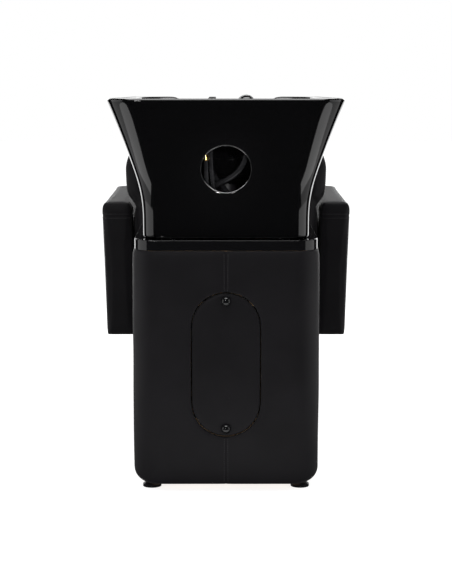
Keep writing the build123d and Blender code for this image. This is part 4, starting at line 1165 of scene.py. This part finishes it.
def hem_ring(plan, turn, tucked=0.0):
    """A ring on the hem's rounding, which is wide at the sides and tight at the rear and front."""
    ring = []
    for (x, u), (out_x, out_u) in plan:
        radius = mix(REAR_HEM_RADIUS, HEM_RADIUS, abs(out_x) ** 1.5)
        z = CABINET_BOTTOM + radius * (1 - math.sin(turn))
        out = cover_swell(x, u, z) - radius * (1 - math.cos(turn)) - tucked
        ring.append((x + out_x * out, u + out_u * out, z))
    return ring


def stadium_spots(border):
    """The nearest place on the hatch's outline to each point of a border, with its outward direction."""
    straight = HATCH_HOLE_REACH - HATCH_HOLE_HALF
    spots = []
    for x, u, z in border:
        rise = z - HATCH_CENTRE
        end = math.copysign(max(abs(rise) - straight, 0.0), rise)
        length = math.hypot(x, end)
        out_x, out_z = x / length, end / length
        if end == 0.0:
            out_x, out_z = math.copysign(1.0, x), 0.0
        centre = HATCH_CENTRE + min(max(rise, -straight), straight)
        spots.append((HATCH_HOLE_HALF * out_x, centre + HATCH_HOLE_HALF * out_z, out_x, out_z))
    return spots


def hatch_opening(border):
    """Rings from a rectangle's border to the edge of the hatch's opening, where the cover turns in."""
    flat = [millimetres(vertex) for vertex in border]
    spots = stadium_spots(flat)
    rings = []
    for share in (0.35, 0.7, 0.92):
        ring = []
        for (x, u, z), (hole_x, hole_z, out_x, out_z) in zip(flat, spots):
            new_x, new_z = mix(x, hole_x + out_x * 5, share), mix(z, hole_z + out_z * 5, share)
            ring.append((new_x, -cover_swell(new_x, 0.0, new_z), new_z))
        rings.append(ring)
    for grow, u in OPENING_ROLL:
        rings.append([(x + out_x * grow, u, z + out_z * grow) for x, z, out_x, out_z in spots])
    return rings


def add_cabinet_cover():
    plan = list(zip(*cover_outline()))
    rings = [hem_ring(plan, math.radians(HEM_TURNS[0]), HEM_TUCKED)]
    rings += [hem_ring(plan, math.radians(turn)) for turn in HEM_TURNS]
    low = len(rings) + COVER_LEVELS.index(COVER_PATCH_LOW)
    high = len(rings) + COVER_LEVELS.index(COVER_PATCH_HIGH)
    rings += [cover_ring(plan, z) for z in COVER_LEVELS]
    rings += [cover_ring(plan, z, inset) for z, inset in COVER_TOP_ROLL]
    bm = bmesh.new()
    grid = [ring_of_verts(bm, ring) for ring in rings]
    middle = len(COVER_STATIONS) - 1
    left, right = middle - COVER_PATCH_COLUMNS, middle + COVER_PATCH_COLUMNS

    def in_hatch(row, column):
        return left <= column < right and low <= row < high

    cover_grid(bm, grid, len(grid) - 1, in_hatch)
    border = patch_border(grid, low, high, left, right)
    bridge_all(bm, [border] + [ring_of_verts(bm, ring) for ring in hatch_opening(border)])
    drop_loose(bm)
    cover = finish_mesh(bm, "cabinet_cover_sewn")
    subdivide(cover, 2)
    skin = cover.modifiers.new("skin", "SOLIDIFY")
    skin.thickness = 1.5 * MM
    skin.offset = -1
    paint(cover, "black_vinyl", "stand")
    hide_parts("cabinet_cover")
    rows = [[(x, -3, z) for z in run] for x in (-4.0, 4.0) for run in ((24, 130), (480, 568))]
    add_stitching("cabinet_stitching", cover, rows, "cabinet_cover", "stand")


# ---------------------------------------------------------------- hatch pad
def stadium_ring(half, reach, u):
    """Points round an upright stadium, always the same number."""
    straight = reach - half
    points = []
    for way in (1, -1):
        for step in range(19):
            angle = math.radians(step * 10)
            points.append((way * half * math.cos(angle), way * (straight + half * math.sin(angle))))
        for step in range(1, 14):
            points.append((-way * half, way * mix(straight, -straight, step / 14)))
    return [(x, u, HATCH_CENTRE + rise) for x, rise in points]


# The pad's rings from its back to its middle: how far inside its edge, and where from front to back.
HATCH_PAD_RINGS = (
    (14.0, 23.2), (5.0, 23.2), (1.6, 22.4), (0.2, 19.0), (0.0, 12.0), (0.0, 5.0), (0.6, 2.2),
    (2.2, 0.3), (5.0, -0.9), (10.0, -1.7), (20.0, -2.5), (34.0, -3.0), (50.0, -3.3), (64.0, -3.4),
    (74.0, -3.4),
)
KNOB_DIMPLE = 2.2
KNOB_DIMPLE_RADIUS = 14


def add_hatch_cover():
    """The hatch's pad: crowned, with a rolled edge, and pressed in a little under each knob."""
    bm = bmesh.new()
    loops = []
    for inset, u in HATCH_PAD_RINGS:
        loop = []
        for x, depth, z in stadium_ring(HATCH_PAD_HALF - inset, HATCH_PAD_REACH - inset, u):
            if u < 0:
                for knob in (-1, 1):
                    away = math.hypot(x, z - HATCH_CENTRE - knob * KNOB_SPACING / 2)
                    depth += KNOB_DIMPLE * math.exp(-((away / KNOB_DIMPLE_RADIUS) ** 2))
            loop.append(bm.verts.new(place(x, depth, z)))
        loops.append(loop)
    bridge_all(bm, loops)
    bm.faces.new(loops[-1])
    bm.faces.new(loops[0])
    pad = finish_mesh(bm, "hatch_cover_padded")
    finish_cushion(pad, "hatch_cover", "hatch", levels=2)


# ---------------------------------------------------------------- chair upholstery
def add_arm(side, tag):
    """An armrest's cover, with a seam round it under the top pad."""
    section = [(side * x, z) for x, z in ARM_SECTION]
    arm = prism(f"arm_cover_{tag}_sewn", section, ARM_REAR, ARM_FRONT, "u", 0.5, 6.0)
    weave(arm)
    inflate(arm, 1.6, ARM_PRESSURE)
    reshape(arm, lambda x, u, z: (x, u, min(z, ARM_BASE) if z < ARM_BASE + BASE_ROUNDING else z))
    groove(arm, lambda x, u, z: z - ARM_SEAM, 1.2, 3.5)
    finish_cushion(arm, f"arm_cover_{tag}", "stand")
    rows = [[(side * x, u, ARM_SEAM + off) for x, u in ARM_SEAM_PATH] for off in (-5.0, 5.0)]
    add_stitching(f"arm_stitching_{tag}", arm, rows, f"arm_cover_{tag}", "stand")


def perimeter(u_low, u_high, half, z):
    """A rounded rectangle at height z, as a path for stitches."""
    corners = ((-half, u_low), (half, u_low), (half, u_high), (-half, u_high))
    path = []
    for k in range(4):
        path += corner_arc(corners[k - 1], corners[k], corners[(k + 1) % 4], 18, 3)
    return [(x, u, z) for x, u in path + path[:1]]


def add_seat():
    cushion = prism("seat_cushion_sewn", SEAT_SECTION, -SEAT_HALF, SEAT_HALF, "x", 7.0, 12.0)
    weave(cushion)
    inflate(cushion, 18.0)
    for seam in (385.0, 434.0):
        groove(cushion, lambda x, u, z, level=seam: z - level, 2.0, 3.5)
    reshape(cushion, lambda x, u, z: (x, u, max(z, SEAT_REST)))
    finish_cushion(cushion, "seat_cushion", "stand")
    rows = [perimeter(628, 1076, SEAT_HALF, z) for z in (380.5, 438.5)]
    add_stitching("seat_stitching", cushion, rows, "seat_cushion", "stand")
    pad = prism("seat_base_pad_sewn", BASE_PAD_SECTION, -SEAT_HALF, SEAT_HALF, "x", 0.5, 6.0)
    weave(pad)
    inflate(pad, 2.5, 2.0)
    groove(pad, lambda x, u, z: z - 300.0, 1.8, 3.5)
    reshape(pad, lambda x, u, z: (x, u, min(z, SEAT_REST)))
    finish_cushion(pad, "seat_base_pad", "stand")
    row = perimeter(641, 1071, SEAT_HALF, 305.0)
    add_stitching("seat_base_stitching", pad, [row], "seat_base_pad", "stand")


def leaned(x, u, z):
    """A point of the upright backrest, as it leans back over the cabinet."""
    cos, sin = math.cos(BACK_LEAN), math.sin(BACK_LEAN)
    out, up = u - BACK_REAR, z - BACK_PIVOT_Z
    return x, BACK_REAR + out * cos - up * sin, BACK_PIVOT_Z + up * cos + out * sin


def beside_uprights(x, u, z):
    """Keeps the backrest clear of the steel uprights, which lie in two channels in its rear face."""
    if abs(abs(x) - UPRIGHT_X) < CHANNEL_HALF and z < CHANNEL_TOP:
        return x, max(u, BACK_REAR + CHANNEL_DEPTH), z
    return x, u, z


def add_backrest():
    cushion = prism("backrest_cushion_sewn", BACK_SECTION, BACK_REAR, BACK_FRONT, "u", -2.0, 12.0)
    weave(cushion)
    inflate(cushion, 9.0, 2.0)
    for seam in (BACK_REAR + 20, BACK_FRONT - 20):
        groove(cushion, lambda x, u, z, level=seam: u - level, 2.0, 3.5)
    reshape(cushion, beside_uprights)
    reshape(cushion, leaned)
    finish_cushion(cushion, "backrest_cushion", "stand")
    rows = []
    for u in (BACK_REAR + 15.5, BACK_FRONT - 15.5):
        rows.append([leaned(x, u, z) for x, z in BACK_SECTION[1:] + BACK_SECTION[:1]])
    add_stitching("backrest_stitching", cushion, rows, "backrest_cushion", "stand")


# ---------------------------------------------------------------- neck rest
def add_neck_rest():
    """A soft moulded rest: a trough over the notch, with a rolled lip that hangs in front of the rim."""
    outer, inner, lip = REST_RADIUS, REST_RADIUS - REST_THICKNESS, REST_RADIUS + REST_LIP
    section = (
        (inner + 0.4, 439.5), (inner, 446.0), (inner - 0.8, 458.0), (inner - 1.0, 473.0),
        (inner - 0.8, 488.0), (inner, 498.0), (inner + 2.5, 505.5), (inner + 7.0, 508.6),
        (outer, 508.9), (lip - 3.0, 508.2), (lip, 505.8), (lip - 1.2, 503.2), (outer + 3.0, 503.0),
        (outer, 502.0), (outer, 496.0), (outer, 473.0), (outer, 450.0), (outer, 440.5),
        (outer - 1.5, 438.2), (outer - 5.5, 437.8), (inner + 2.5, 438.0),
    )
    middle = (inner + outer) / 2
    bm = bmesh.new()
    loops = []
    for share, size in REST_ENDS + REST_SPAN + tuple((-s, k) for s, k in reversed(REST_ENDS)):
        angle = math.radians(REST_HALF_ANGLE) * share
        loop = []
        for radius, u in section:
            radius, u = mix(middle, radius, size), mix(REST_MIDDLE, u, mix(1.0, size, 0.15))
            x, z = radius * math.sin(angle), NOTCH_CENTRE - radius * math.cos(angle)
            loop.append(bm.verts.new(place(x, u, z)))
        loops.append(loop)
    bridge_all(bm, loops)
    bm.faces.new(loops[0])
    bm.faces.new(loops[-1])
    rest = finish_mesh(bm, "neck_rest_moulded")
    subdivide(rest, 2)
    paint(rest, "soft_gel", "neck_rest")
    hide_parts("neck_rest")


MATERIALS = make_materials()
finish_cad_nodes()
add_camera()
add_floor()
add_lighting()
add_hoses()
add_bowl()
add_cabinet_cover()
add_hatch_cover()
add_arm(1, "right")
add_arm(-1, "left")
add_seat()
add_backrest()
add_neck_rest()
